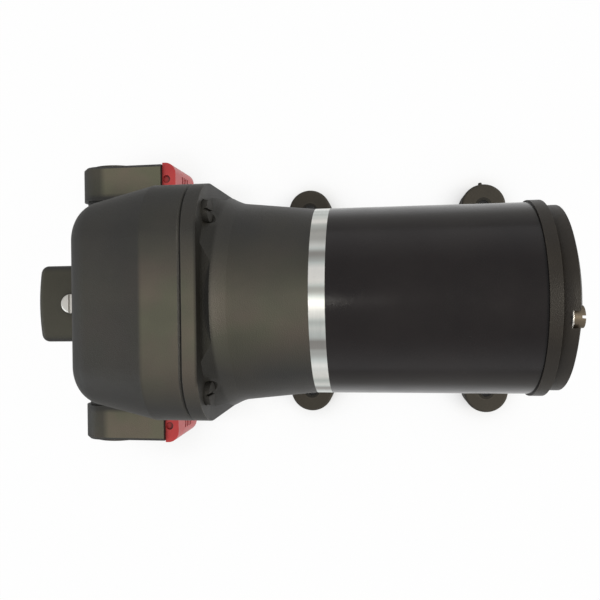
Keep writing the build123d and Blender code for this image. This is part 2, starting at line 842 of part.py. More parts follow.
def armature_windings():
    """Copper wire: the two end turns and the bars that lie in the slots."""
    front = ring_x(core_x - coil_length, core_x, coil_radius, coil_inner_radius)
    front = fillet(front.faces().sort_by(Axis.X)[0].edges().sort_by(SortBy.RADIUS)[-1], coil_round)
    rear = ring_x(core_end_x, core_end_x + coil_length, coil_radius, coil_inner_radius)
    rear = fillet(rear.faces().sort_by(Axis.X)[-1].edges().sort_by(SortBy.RADIUS)[-1], coil_round)
    windings = front + rear
    bar_low = core_radius - slot_depth + press_gap
    bar_high = coil_radius
    for number in range(slot_count):
        bar = slab(
            (core_x - coil_bite, core_end_x + coil_bite),
            (-slot_width / 2 + press_gap, slot_width / 2 - press_gap),
            (bar_low, bar_high),
        )
        windings = windings + Rot(number * 360 / slot_count, 0, 0) * bar
    return windings


def commutator():
    """Copper segments that the brushes run on."""
    end = commutator_x + commutator_length
    drum = ring_x(commutator_x, end, commutator_radius, shaft_radius + press_gap)
    for number in range(slot_count):
        slot = slab(
            (commutator_x - overrun, end + overrun),
            (-commutator_slot / 2, commutator_slot / 2),
            (commutator_radius - commutator_slot_depth, commutator_radius + overrun),
        )
        drum = drum - Rot((number + 1 / 2) * 360 / slot_count, 0, 0) * slot
    return drum


def motor_shaft():
    """Shaft from the cam to the rear bearing."""
    start = hub_start_x + free_gap + shaft_setback
    end = rear_bearing_x + bearing_width
    shaft = rod_x(start, end, shaft_radius)
    return chamfer(shaft.faces().sort_by(Axis.X)[-1].edges(), shaft_chamfer)


def brush_middle():
    """Place of the brushes along the commutator."""
    return commutator_x + commutator_length / 2


def brush(side):
    """Carbon brush, hollowed to the commutator."""
    middle = brush_middle()
    block = slab(
        (middle - brush_width / 2, middle + brush_width / 2),
        (commutator_radius - commutator_slot_depth, brush_end),
        (-brush_height / 2, brush_height / 2),
    )
    face = rod_x(middle - brush_width, middle + brush_width, commutator_radius + running_gap)
    block = block - face
    return block if side > 0 else mirror(block, Plane.XZ)


def brush_spring(side):
    """Spring behind the brush, wound as a square coil."""
    low = brush_end
    high = low + brush_spring_room - press_gap
    middle = brush_middle()
    half = brush_height / 2 - spring_wire
    pitch = (high - low - 2 * spring_wire) / brush_spring_turns
    points = []
    for step in range(brush_spring_turns * 4 + 1):
        corner = step % 4
        x = middle + half * (1 if corner in (0, 3) else -1)
        z = half * (1 if corner in (0, 1) else -1)
        points.append((x, low + spring_wire + pitch * step / 4, z))
    path = Polyline(*points)
    start = Plane(origin=points[0], x_dir=(0, 1, 0), z_dir=Vector(*points[1]) - Vector(*points[0]))
    coil = sweep(start * Rectangle(spring_wire, spring_wire), path=path, transition=Transition.RIGHT)
    return coil if side > 0 else mirror(coil, Plane.XZ)


def brush_card():
    """Insulating plate with the two brush tubes."""
    card = ring_x(card_x - card_thickness, card_x, shell_inner - 2 * press_gap, card_hole_radius)
    middle = brush_middle()
    half_x = brush_width / 2 + running_gap
    half_z = brush_height / 2 + running_gap
    spring_end = brush_tube_end - brush_wall
    tube = slab(
        (middle - half_x - brush_wall, card_x),
        (commutator_radius + brush_wall, brush_tube_end),
        (-half_z - brush_wall, half_z + brush_wall),
    )
    hollow = slab((middle - half_x, middle + half_x), (0, spring_end), (-half_z, half_z))
    for turn in (0, 180):
        card = card + Rot(turn, 0, 0) * tube - Rot(turn, 0, 0) * hollow
    for y, z in bolt_places():
        card = card - rod_x(card_x - card_thickness - overrun, card_x + overrun, bolt_boss_radius, y, z)
    return card


def rear_cap():
    """Crowned plastic cap with the rear bearing seat and pockets for the long bolts."""
    rim = rod_x(shell_end_x, rear_bearing_x, cap_rim_radius)
    body = rod_x(shell_end_x, cap_end_x, cap_radius)
    crown_x = cap_end_x - cap_crown_radius
    body = body & (Pos(crown_x, 0, 0) * Sphere(cap_crown_radius))
    body = fillet(body.edges().filter_by(GeomType.CIRCLE).sort_by(Axis.X)[-1], cap_edge_radius)
    inner = cap_radius - cap_wall
    hollow = rod_x(shell_end_x - overrun, cap_inner_x, inner)
    hollow = hollow & (Pos(crown_x, 0, 0) * Sphere(cap_crown_radius - cap_wall))
    hollow = hollow - rod_x(rear_bearing_x, cap_end_x, boss_radius)
    for y, z in bolt_places():
        hollow = hollow - rod_x(shell_end_x, cap_end_x, bolt_pocket_radius + cap_wall / 2, y, z)
    boss = slab(
        (shell_end_x, shell_end_x + lead_boss_length),
        (-lead_boss_width / 2, lead_boss_width / 2),
        (-cap_rim_radius, -inner + overrun),
    )
    cap = rim + body + boss - hollow
    cap = cap - rod_x(shell_end_x - overrun, rear_bearing_x + bearing_width, bearing_radius + press_gap)
    for y, z in bolt_places():
        cap = cap - rod_x(shell_end_x - overrun, cap_end_x, bolt_radius + press_gap, y, z)
        cap = cap - rod_x(bolt_seat_x, cap_end_x, bolt_pocket_radius, y, z)
    return cap - rod_z(-cap_rim_radius - overrun, -inner + 2 * overrun, grommet_hole_radius, lead_x)


def tie_bolts():
    """Two long bolts that hold the rear cap and the shell on the front bell."""
    tip = shell_x - bolt_thread + tip_gap
    radius = bolt_radius - press_gap
    return group(
        screw_x(bolt_seat_x, tip, radius, bolt_head_radius, bolt_head_length, y, z)
        for y, z in bolt_places()
    )


def lead_grommet():
    """Rubber bush in the cap's rim where the motor leads come out."""
    x = lead_x
    grommet_flange_z = -cap_rim_radius - grommet_flange
    bush = rod_z(-cap_rim_radius, -cap_radius + cap_wall, grommet_hole_radius - press_gap, x)
    flange = rod_z(grommet_flange_z, -cap_rim_radius, grommet_flange_radius, x)
    return bush + flange - rod_z(grommet_flange_z - overrun, 0, grommet_bore_radius, x)


def base_screw_places():
    """Places along X of the screws that hold the motor on its base."""
    return [base_screw_x, base_screw_x + base_screw_pitch]


def base_plate():
    """Pressed steel cradle: a saddle under the motor, two sloping webs and two rails with ears."""
    saddle = ring_x(saddle_x_start, saddle_x_end, motor_radius + base_sheet, motor_radius)
    half = motor_radius * sin(radians(saddle_half_angle))
    edge_z = -motor_radius * cos(radians(saddle_half_angle))
    saddle = saddle & slab((saddle_x_start, saddle_x_end), (-half, half), (-2 * motor_radius, 0))
    base = saddle
    foot_line = base_half_width - ear_radius
    for side in (1, -1):
        web_points = [
            (side * (half - base_sheet), edge_z - base_sheet),
            (side * half, edge_z),
            (side * foot_line, ear_top_z),
            (side * (foot_line - base_sheet), ear_bottom_z),
        ]
        plane = Plane(origin=(saddle_x_start, 0, 0), x_dir=(0, 1, 0), z_dir=(1, 0, 0))
        web = extrude(plane * make_face(Polyline(*web_points, close=True)), saddle_x_end - saddle_x_start)
        rail_y = sorted((side * (foot_line - base_sheet), side * base_half_width))
        rail = slab((base_x_start, base_x_end), rail_y, (ear_bottom_z, ear_top_z))
        base = base + web + rail
    for x, y in feet_places():
        reach = foot_line if y > 0 else -foot_line
        arm = slab((x - ear_radius, x + ear_radius), sorted((reach, y)), (ear_bottom_z, ear_top_z))
        base = base + arm + rod_z(ear_bottom_z, ear_top_z, ear_radius, x, y)
        base = base - rod_z(ear_bottom_z - overrun, ear_top_z + overrun, foot_neck_radius, x, y)
    for x in base_screw_places():
        base = base - rod_z(-motor_radius - 2 * base_sheet, 0, base_screw_radius + press_gap, x)
    return base


def base_screws():
    """Screws through the saddle into the motor shell."""
    screws = []
    seat = -motor_radius - base_sheet
    for x in base_screw_places():
        shank = rod_z(seat, -shell_inner - press_gap, base_screw_radius - press_gap, x)
        head = rod_z(seat - base_screw_head_length, seat, base_screw_head, x)
        slot = slab(
            (x - base_screw_head, x + base_screw_head),
            (-drive_slot / 2, drive_slot / 2),
            (seat - base_screw_head_length - overrun, seat - base_screw_head_length + drive_depth),
        )
        screws.append(shank + head - slot)
    return group(screws)


def rubber_feet():
    """Four rubber mounts, each with a groove that takes the ear of the base."""
    feet = []
    for x, y in feet_places():
        cap = rod_z(ear_top_z, foot_top_z, foot_radius, x, y)
        cap = fillet(cap.faces().sort_by(Axis.Z)[-1].edges(), foot_waist)
        neck = rod_z(ear_bottom_z, ear_top_z, foot_neck_radius - press_gap, x, y)
        body = rod_z(foot_bottom_z, ear_bottom_z, foot_radius, x, y)
        waist_z = (foot_bottom_z + ear_bottom_z) / 2
        waist = Pos(x, y, waist_z) * Torus(foot_radius + foot_waist, 2 * foot_waist)
        foot = cap + neck + (body - waist)
        feet.append(foot - rod_z(foot_bottom_z - overrun, foot_top_z + overrun, sleeve_radius, x, y))
    return group(feet)


def foot_sleeves():
    """Steel sleeves that take the mounting screws."""
    sleeves = []
    for x, y in feet_places():
        sleeve = rod_z(foot_bottom_z, foot_top_z, sleeve_radius, x, y)
        sleeves.append(sleeve - rod_z(foot_bottom_z - overrun, foot_top_z + overrun, sleeve_bore, x, y))
    return group(sleeves)


def switch_outline(shrink):
    """Outline of the switch cover, with a crowned top, made smaller by the wall."""
    half = switch_half_width - shrink
    low = switch_z - switch_half_height + shrink
    side_top = switch_top_z - switch_crown - shrink
    top = switch_top_z - shrink
    edges = [
        Line((half, side_top), (half, low)),
        Line((half, low), (-half, low)),
        Line((-half, low), (-half, side_top)),
        ThreePointArc((-half, side_top), (0, top), (half, side_top)),
    ]
    face = make_face(edges)
    return fillet(face.vertices(), max(switch_corner - shrink, switch_wall))


def switch_cover():
    """Moulded cover over the pressure switch, open towards the nose."""
    plane = Plane(origin=(nose_x, 0, 0), x_dir=(0, -1, 0), z_dir=(-1, 0, 0))
    cover = extrude(plane * switch_outline(0), switch_length)
    cover = fillet(cover.faces().sort_by(Axis.X)[0].edges(), switch_edge)
    back = Plane(origin=(nose_x + overrun, 0, 0), x_dir=(0, -1, 0), z_dir=(-1, 0, 0))
    cover = cover - extrude(back * switch_outline(switch_wall), switch_length - switch_wall + overrun)
    middle = cover_screw_x()
    cover = cover - rod_z(switch_z, switch_top_z + overrun, cover_screw_radius + press_gap, middle)
    wire_x = micro_x + micro_length / 2
    cover = cover - rod_z(switch_z - 2 * switch_half_height, switch_z, grommet_hole_radius, wire_x)
    wall_end = switch_front_x + switch_wall + overrun
    return cover - rod_x(switch_front_x - overrun, wall_end, adjuster_radius + free_gap, 0, switch_z)


def cover_screw_x():
    """Place along X of the screw on top of the switch cover."""
    return nose_x - switch_length / 2


def cover_screw():
    """Bright pan head screw that holds the switch cover."""
    x = cover_screw_x()
    top = switch_top_z + cover_screw_head_length
    head = rod_z(switch_top_z, top, cover_screw_head, x)
    head = fillet(head.faces().sort_by(Axis.Z)[-1].edges(), cover_screw_head_length / 2)
    shank = rod_z(switch_top_z - cover_screw_length, switch_top_z, cover_screw_radius - press_gap, x)
    slot = slab(
        (x - drive_slot / 2, x + drive_slot / 2),
        (-cover_screw_head, cover_screw_head),
        (top - drive_depth, top + overrun),
    )
    return head + shank - slot


def switch_body():
    """Plastic block with the diaphragm seat, the plunger bore and the adjuster's thread."""
    plane = Plane(origin=(nose_x, 0, 0), x_dir=(0, -1, 0), z_dir=(-1, 0, 0))
    body = extrude(plane * switch_outline(switch_wall + press_gap), switch_body_length)
    body = body + rod_x(switch_boss_x, switch_body_x, switch_boss_radius, 0, switch_z)
    disc_x = nose_x - switch_disc_thickness
    body = body - rod_x(disc_x, nose_x + overrun, switch_disc_radius, 0, switch_z)
    plunger_end = plunger_x - plunger_travel - free_gap
    body = body - rod_x(plunger_end, nose_x, plunger_radius + running_gap, 0, switch_z)
    body = body - rod_x(switch_boss_x - overrun, nose_x, adjuster_radius + running_gap, 0, switch_z)
    arm_gap = arm_width / 2 + free_gap
    arm_slot = slab(
        (switch_body_x - overrun, plunger_x + arm_thickness + free_gap),
        (arm_y - arm_gap, arm_y + arm_gap),
        (switch_z, switch_top_z),
    )
    body = body - arm_slot
    hole_radius = switch_screw_radius + press_gap
    for y in switch_screw_places():
        body = body - rod_x(switch_body_x - overrun, nose_x + overrun, hole_radius, y, switch_z)
    return body - rod_z(switch_z, switch_top_z, cover_screw_radius, cover_screw_x())


def switch_diaphragm():
    """Rubber disc that the water pressure pushes against the plunger."""
    start = nose_x - switch_disc_thickness + press_gap
    return rod_x(start, nose_x, switch_disc_radius - press_gap, 0, switch_z)


def switch_plunger():
    """Plunger with an arm that reaches the micro switch."""
    disc = rod_x(plunger_x, plunger_x + plunger_thickness - press_gap, plunger_radius, 0, switch_z)
    stem = rod_x(adjuster_x + adjuster_length / 2, plunger_x, plunger_stem_radius, 0, switch_z)
    arm_top = switch_top_z - switch_crown - switch_wall - micro_height / 2
    y_range = (arm_y - arm_width / 2, arm_y + arm_width / 2)
    arm = slab((plunger_x, plunger_x + arm_thickness), y_range, (switch_z, arm_top))
    finger_start = micro_x + micro_length + plunger_travel + press_gap
    finger = slab((finger_start, plunger_x + arm_thickness), y_range, (arm_top - arm_thickness, arm_top))
    return disc + stem + arm + finger


def switch_spring():
    """Range spring between the plunger and the adjuster, wound from flat wire."""
    start = adjuster_x + adjuster_length
    free_length = plunger_x - start - 2 * press_gap
    mean_radius = plunger_stem_radius + free_gap + spring_wire
    height = free_length - spring_wire
    helix = Helix(height / switch_spring_turns, height, mean_radius)
    section = Plane(origin=helix @ 0, z_dir=helix % 0) * Rectangle(spring_wire, spring_wire)
    coil = sweep(section, path=helix, is_frenet=True)
    place = Pos(start + press_gap + spring_wire / 2, 0, switch_z)
    return place * Rot(0, 90, 0) * coil


def switch_adjuster():
    """Slotted screw plug that sets the cut-out pressure."""
    plug = rod_x(adjuster_x, adjuster_x + adjuster_length, adjuster_radius, 0, switch_z)
    well_x = adjuster_x + adjuster_length / 2
    plug = plug - rod_x(
        well_x - plunger_travel - free_gap,
        adjuster_x + adjuster_length + overrun,
        plunger_stem_radius + free_gap,
        0,
        switch_z,
    )
    slot = slab(
        (adjuster_x - overrun, adjuster_x + adjuster_slot_depth),
        (-adjuster_radius, adjuster_radius),
        (switch_z - adjuster_slot / 2, switch_z + adjuster_slot / 2),
    )
    return plug - slot


def micro_switch():
    """Small snap switch with its two blade terminals."""
    high = switch_top_z - switch_crown - switch_wall - press_gap
    low = high - micro_height
    case = slab((micro_x, micro_x + micro_length), (-micro_width / 2, micro_width / 2), (low, high))
    middle = micro_x + micro_length / 2
    for side in (1, -1):
        y = side * (micro_width - terminal_width) / 2
        blade = slab(
            (middle - terminal_thickness / 2, middle + terminal_thickness / 2),
            (y - terminal_width / 2, y + terminal_width / 2),
            (low - terminal_length, low),
        )
        case = case + blade
    return case


def switch_screws():
    """Two screws that hold the switch body on the nose."""
    radius = switch_screw_radius - press_gap
    head = switch_screw_head
    length = switch_screw_head_length
    return group(
        screw_x(switch_body_x, switch_screw_end_x, radius, head, length, y, switch_z)
        for y in switch_screw_places()
    )


pieces = {
    "upper_housing": upper_housing(),
    "port_clip_left": port_clip(1),
    "port_clip_right": port_clip(-1),
    "valve_plate": valve_plate(),
    "inlet_valves": inlet_valves(),
    "outlet_valve": outlet_valve(),
    "valve_gasket": valve_gasket(),
    "diaphragm": diaphragm(),
    "diaphragm_centres": diaphragm_centres(),
    "outer_pistons": outer_pistons(),
    "piston_screws": piston_screws(),
    "wobble_plate": wobble_plate(),
    "wobble_bearing_outer": wobble_bearing_outer(),
    "wobble_bearing_inner": wobble_bearing_inner(),
    "drive_cam": drive_cam(),
    "cam_set_screw": cam_set_screw(),
    "lower_housing": lower_housing(),
    "head_screws": head_screws(),
    "bell_screws": bell_screws(),
    "front_bell": front_bell(),
    "front_bearing_outer": bearing_outer(front_bearing_x),
    "front_bearing_inner": bearing_inner(front_bearing_x),
    "motor_shell": motor_shell(),
    "magnets": magnets(),
    "armature_core": armature_core(),
    "armature_windings": armature_windings(),
    "commutator": commutator(),
    "motor_shaft": motor_shaft(),
    "brush_left": brush(1),
    "brush_right": brush(-1),
    "brush_spring_left": brush_spring(1),
    "brush_spring_right": brush_spring(-1),
    "brush_card": brush_card(),
    "rear_bearing_outer": bearing_outer(rear_bearing_x),
    "rear_bearing_inner": bearing_inner(rear_bearing_x),
    "rear_cap": rear_cap(),
    "tie_bolts": tie_bolts(),
    "lead_grommet": lead_grommet(),
    "base_plate": base_plate(),
    "base_screws": base_screws(),
    "rubber_feet": rubber_feet(),
    "foot_sleeves": foot_sleeves(),
    "switch_cover": switch_cover(),
    "cover_screw": cover_screw(),
    "switch_body": switch_body(),
    "switch_diaphragm": switch_diaphragm(),
    "switch_plunger": switch_plunger(),
    "switch_spring": switch_spring(),
    "switch_adjuster": switch_adjuster(),
    "micro_switch": micro_switch(),
    "switch_screws": switch_screws(),
}

os.makedirs("parts", exist_ok=True)
for name, shape in pieces.items():
    export_step(Pos(0, 0, axis_height) * shape, "parts/" + name + ".step")
    print(name)
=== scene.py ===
# %% [markdown]
# # A caravan water pump, seen from above
# The pump comes as a frame of finished solids in real metres. This lesson dresses it: it sets the
# camera where the photograph was taken from, lays a plain bench under soft light, gives each piece
# the finish that the real one has, and winds the springs and coils from round wire. Nothing here
# moves or resizes a solid of the frame.

import math

import bmesh
import bpy
from mathutils import Matrix, Quaternion, Vector


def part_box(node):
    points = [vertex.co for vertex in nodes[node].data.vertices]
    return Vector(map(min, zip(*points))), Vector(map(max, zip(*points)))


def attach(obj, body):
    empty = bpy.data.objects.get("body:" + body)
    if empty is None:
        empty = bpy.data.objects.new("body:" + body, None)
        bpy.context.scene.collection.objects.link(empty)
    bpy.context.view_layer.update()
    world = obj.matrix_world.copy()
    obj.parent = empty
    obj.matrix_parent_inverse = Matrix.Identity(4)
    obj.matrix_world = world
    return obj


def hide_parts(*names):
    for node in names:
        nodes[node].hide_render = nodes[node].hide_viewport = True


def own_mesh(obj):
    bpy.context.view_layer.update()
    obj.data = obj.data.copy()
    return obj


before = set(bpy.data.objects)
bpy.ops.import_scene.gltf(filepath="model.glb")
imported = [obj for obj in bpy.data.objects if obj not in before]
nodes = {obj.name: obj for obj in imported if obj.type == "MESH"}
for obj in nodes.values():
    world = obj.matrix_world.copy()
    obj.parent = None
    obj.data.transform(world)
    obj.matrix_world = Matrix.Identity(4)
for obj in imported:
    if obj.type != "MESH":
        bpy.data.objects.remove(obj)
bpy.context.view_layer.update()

# %% [markdown]
# ## The camera
# The photograph looks almost straight down. The round motor looks smaller towards its rear cap, and
# the sides of the ports show beyond the head, so the lens was close. Known points, such as the
# bright band's ends and the middle of each foot, fix the place, the turn and the focal length.

# %% Set the camera
camera_place = Vector((-0.00607, 0.00048, 0.32411))
camera_turn = Vector((-0.081, 7.602, -0.737))


def add_object(name, data):
    """New object with its data, in the scene."""
    thing = bpy.data.objects.new(name, data)
    bpy.context.scene.collection.objects.link(thing)
    return thing


camera_data = bpy.data.cameras.new("camera")
camera_data.sensor_width = 36.0
camera_data.lens = 37.63
camera_data.clip_start = 0.01
camera = add_object("camera", camera_data)
camera.location = camera_place
camera.rotation_mode = "QUATERNION"
camera.rotation_quaternion = Quaternion(camera_turn.normalized(), math.radians(camera_turn.length))
bpy.context.scene.camera = camera
print("camera at", tuple(camera_place), "tilt", round(camera_turn.length, 2))

# %% [markdown]
# ## Node tree helpers
# Materials are built from small nodes that are wired by hand here, so a few helpers keep each line
# short. One feeds a number or a link into a socket, one adds a node and feeds its inputs, and the
# others do the sums and blends that come up often.

# %% Helpers for node trees
def feed(tree, value, socket):
    """Put a number or colour on a socket, or link another socket to it."""
    if isinstance(value, bpy.types.NodeSocket):
        tree.links.new(value, socket)
    else:
        socket.default_value = value


def add_node(tree, kind, feeds=None, **settings):
    """New node with its settings, whose inputs are fed by name or by number."""
    node = tree.nodes.new(kind)
    for name, value in settings.items():
        setattr(node, name, value)
    for socket, value in (feeds or {}).items():
        feed(tree, value, node.inputs[socket])
    return node


def result(tree, kind, feeds=None, **settings):
    """First output of a new node."""
    return add_node(tree, kind, feeds, **settings).outputs[0]


def calculate(tree, operation, first, second=0.0):
    """What one operation makes of one or two values."""
    return result(tree, "ShaderNodeMath", {0: first, 1: second}, operation=operation)


def product(tree, first, *others):
    """All the values multiplied together."""
    for value in others:
        first = calculate(tree, "MULTIPLY", first, value)
    return first


def distance(tree, value, place):
    """How far a value is from a place, on either side."""
    return calculate(tree, "ABSOLUTE", calculate(tree, "SUBTRACT", value, place))


def rescale(tree, value, old_range, new_range=(0, 1)):
    """Value carried from one range to another, and held at its ends."""
    labels = ("Value", "From Min", "From Max", "To Min", "To Max")
    feeds = dict(zip(labels, (value, *old_range, *new_range)))
    return add_node(tree, "ShaderNodeMapRange", feeds).outputs["Result"]


# %% Helpers for colours and vectors
def blend(tree, share, first, second):
    """First colour, with a share of the second. Each is three numbers or a node's output."""
    node = add_node(tree, "ShaderNodeMix", {"Factor": share}, data_type="RGBA")
    colour_sockets = [socket for socket in node.inputs if socket.type == "RGBA"]
    for colour, socket in zip((first, second), colour_sockets):
        feed(tree, (*colour, 1) if isinstance(colour, tuple) else colour, socket)
    return [socket for socket in node.outputs if socket.type == "RGBA"][0]


def split(tree, vector):
    """The X, Y and Z of a vector."""
    return add_node(tree, "ShaderNodeSeparateXYZ", {0: vector}).outputs


def join(tree, **parts):
    """Vector made of an X, Y and Z, each nought unless it is given."""
    return result(tree, "ShaderNodeCombineXYZ", parts)


def object_place(tree):
    """Place on the object, in metres."""
    return add_node(tree, "ShaderNodeTexCoord").outputs["Object"]


def openness(tree, reach):
    """Ambient occlusion: one in the open, and less in a hollow narrower than the reach."""
    return add_node(tree, "ShaderNodeAmbientOcclusion", {"Distance": reach}, samples=8).outputs["AO"]


def drive(tree, shader, **feeds):
    """Feed the shader's inputs by name."""
    for label, value in feeds.items():
        feed(tree, value, shader.inputs[label.replace("_", " ")])


def start_material(name, **constants):
    """New material, whose shader gets its constant numbers at once."""
    material = bpy.data.materials.new(name)
    material.use_nodes = True
    tree = material.node_tree
    shader = tree.nodes["Principled BSDF"]
    drive(tree, shader, **constants)
    return material, tree, shader


print("helpers ready")

# %% [markdown]
# ## The bench
# The pump lies on a plain white ground. Lamps strong enough to turn a surface pure white would wash
# out the black plastic, so the ground itself sends light to the camera. It does the same to glossy
# rays, because the enamelled motor mirrors the white ground along its sides. Close under the pump
# that light fades by ambient occlusion, which keeps the contact shadow and the dark foot holes, and
# what the gloss mirrors fades further out, as on a sheet of paper that lies in a plain room.

# %% Lay the floor
floor_half = 3.0
contact_reach = 0.035
sheet_edge = (0.12, 0.175)
floor_corners = [(x * floor_half, y * floor_half, 0) for x, y in ((-1, -1), (1, -1), (1, 1), (-1, 1))]
floor_data = bpy.data.meshes.new("floor")
floor_data.from_pydata(floor_corners, [], [(0, 1, 2, 3)])
floor = add_object("floor", floor_data)


def seen_directly(tree):
    """One for the rays that show the background: from the camera, off gloss or through glass."""
    path = add_node(tree, "ShaderNodeLightPath")
    seen = calculate(tree, "MAXIMUM", path.outputs["Is Camera Ray"], path.outputs["Is Glossy Ray"])
    return calculate(tree, "MAXIMUM", seen, path.outputs["Is Transmission Ray"])


def mix_shaders(tree, share, first, second, output):
    """Send the first shader, with a share of the second, to an output node."""
    feeds = {0: share, 1: first.outputs[0], 2: second.outputs[0]}
    feed(tree, result(tree, "ShaderNodeMixShader", feeds), tree.nodes[output].inputs["Surface"])


floor_material, tree, surface = start_material(
    "white_floor", Base_Color=(0.42, 0.42, 0.42, 1), Roughness=0.9, Specular_IOR_Level=0.0
)
glow = add_node(tree, "ShaderNodeEmission", {"Color": (1, 1, 1, 1), "Strength": 1.0})
lit = rescale(tree, openness(tree, contact_reach), (0.25, 0.9), (0.35, 0.985))
from_origin = add_node(tree, "ShaderNodeVectorMath", {0: object_place(tree)}, operation="LENGTH")
sheet = rescale(tree, from_origin.outputs["Value"], sheet_edge, (1.0, 0.35))
mirrored = add_node(tree, "ShaderNodeLightPath").outputs["Is Glossy Ray"]
sheet_or_white = calculate(tree, "MAXIMUM", sheet, calculate(tree, "SUBTRACT", 1.0, mirrored))
glow_share = product(tree, seen_directly(tree), product(tree, lit, sheet_or_white))
mix_shaders(tree, glow_share, surface, glow, "Material Output")
floor_data.materials.append(floor_material)
print("floor laid, half side", floor_half)

# %% [markdown]
# ## The light
# The black enamel mirrors whatever hangs above it, and in the photograph its crest stays dark. So
# the soft light is a dome that is brightest overhead and falls off evenly, with no edge to mirror.
# Two lamps stand off towards the ends of the motor: a cylinder mirrors only what lies across its
# axis, so they light the plastic without drawing a white stripe on the enamel. A small third lamp
# hangs where only the neck and the band mirror it, and gives the band its white middle.

# %% Raise the dome
world = bpy.data.worlds.new("studio")
bpy.context.scene.world = world
world.use_nodes = True
tree = world.node_tree
direction = add_node(tree, "ShaderNodeTexCoord").outputs["Generated"]
height = calculate(tree, "MAXIMUM", split(tree, direction)["Z"], 0.0)
dome = tree.nodes["Background"]
feed(tree, blend(tree, height, (0.8, 0.9, 1.0), (1.0, 0.97, 0.9)), dome.inputs["Color"])
feed(tree, rescale(tree, height, (0, 1), (0.12, 0.72)), dome.inputs["Strength"])
white = {"Color": (1, 1, 1, 1), "Strength": rescale(tree, height, (0.2, 0.7), (1.0, 0.55))}
backdrop = add_node(tree, "ShaderNodeBackground", white)
mix_shaders(tree, seen_directly(tree), dome, backdrop, "World Output")
print("dome raised:", world.name)

# %% Hang the lamps
lamp_target = Vector((-0.04, 0, 0.06))


def hang_lamp(name, place, size, power, colour):
    """Square soft lamp that faces the middle of the pump."""
    lamp_data = bpy.data.lights.new(name, "AREA")
    lamp_data.size = size
    lamp_data.energy = power
    lamp_data.color = colour
    lamp = add_object(name, lamp_data)
    lamp.location = place
    lamp.rotation_euler = (Vector(place) - lamp_target).to_track_quat("Z", "Y").to_euler()
    print(name, "at", place, "with", power, "W")


hang_lamp("key_lamp", (0.95, -0.05, 1.0), size=0.4, power=14.0, colour=(1.0, 0.94, 0.8))
hang_lamp("spot_lamp", (-0.24, -0.01, 1.2), size=0.09, power=1.0, colour=(1.0, 0.97, 0.9))
hang_lamp("fill_lamp", (-1.2, -0.5, 0.45), size=0.7, power=2.5, colour=(0.88, 0.95, 1.0))

# %% [markdown]
# ## Effects that several finishes share
# Moulded plastic, cast metal and rubber all have a fine grain, worn edges and a little settled dust,
# only in different amounts. Each effect is a node group, built once, that puts out a mask or a
# height. The shader itself stays in each material, where its plain numbers can be read.

# %% Start a node group
socket_kinds = {int: "NodeSocketInt", float: "NodeSocketFloat", tuple: "NodeSocketVector"}


def start_tree(name, kind, inputs, outputs):
    """New node group. An input is given by its usual value, or else by the kind of its socket."""
    tree = bpy.data.node_groups.new(name, kind)
    for label, value in inputs.items():
        socket_kind = socket_kinds.get(type(value), value)
        socket = tree.interface.new_socket(label, in_out="INPUT", socket_type=socket_kind)
        if value != socket_kind:
            socket.default_value = value
    for label, socket_kind in outputs.items():
        tree.interface.new_socket(label, in_out="OUTPUT", socket_type=socket_kind)
    return tree, add_node(tree, "NodeGroupInput").outputs, add_node(tree, "NodeGroupOutput").inputs


def start_group(name, numbers, outputs):
    """New shader group that reads a place and some numbers."""
    inputs = {"Place": "NodeSocketVector", **numbers}
    return start_tree(name, "ShaderNodeTree", inputs, dict.fromkeys(outputs, "NodeSocketFloat"))


def noise(tree, place, scale, detail=2.0, roughness=0.5):
    """Cloudy value about one half."""
    feeds = {"Vector": place, "Scale": scale, "Detail": detail, "Roughness": roughness}
    return add_node(tree, "ShaderNodeTexNoise", feeds).outputs["Fac"]


def facing_up(tree, start, full):
    """Share that grows as the surface turns upwards, between two heights of its normal."""
    normal = add_node(tree, "ShaderNodeNewGeometry").outputs["Normal"]
    return rescale(tree, split(tree, normal)["Z"], (start, full))


print("group helpers ready")

# %% [markdown]
# ### Mould grain
# A steel mould is eroded by sparks, which leaves the plastic a satin skin of tiny shallow pits. A
# picture of that skin would repeat, so cells broken up by noise give it at its real size, and a
# slow blotch comes out beside it for the uneven colour of a big moulding.

# %% Grain of a spark-eroded mould
grain_group, enter, leave = start_group("mould_grain", {"Scale": 2200.0}, ["Height", "Blotch"])
tree = grain_group
place, scale = enter["Place"], enter["Scale"]
fine = noise(tree, place, scale, detail=3.0, roughness=0.6)
cells = add_node(tree, "ShaderNodeTexVoronoi", {"Vector": place, "Scale": scale}).outputs["Distance"]
feed(tree, product(tree, fine, cells), leave["Height"])
broad = noise(tree, place, calculate(tree, "DIVIDE", scale, 45.0), detail=4.0)
feed(tree, rescale(tree, broad, (0.3, 0.7)), leave["Blotch"])
print("group:", grain_group.name)

# %% [markdown]
# ### Worn edges
# Hands and tools rub the sharp edges first. The bevel node gives a normal that is rounded over a
# small radius: where it differs from the true one there is an edge, and noise breaks the line up.

# %% Edges rubbed by hands and tools
wear_group, enter, leave = start_group("edge_wear", {"Width": 0.0006, "Amount": 1.0}, ["Mask"])
tree = wear_group
rounded = add_node(tree, "ShaderNodeBevel", {"Radius": enter["Width"]}, samples=4)
true_side = add_node(tree, "ShaderNodeNewGeometry")
normals = {0: rounded.outputs["Normal"], 1: true_side.outputs["Normal"]}
match = add_node(tree, "ShaderNodeVectorMath", normals, operation="DOT_PRODUCT")
turned = rescale(tree, match.outputs["Value"], (0.99, 0.8))
patchy = rescale(tree, noise(tree, enter["Place"], scale=420.0, detail=4.0), (0.4, 0.62), (0.15, 1))
feed(tree, product(tree, turned, patchy, enter["Amount"]), leave["Mask"])
print("group:", wear_group.name)

# %% [markdown]
# ### Settled dust
# Dust lies on what faces up. The normal's height picks those faces, cloudy noise thins the film out
# and a second, finer noise turns it into specks.

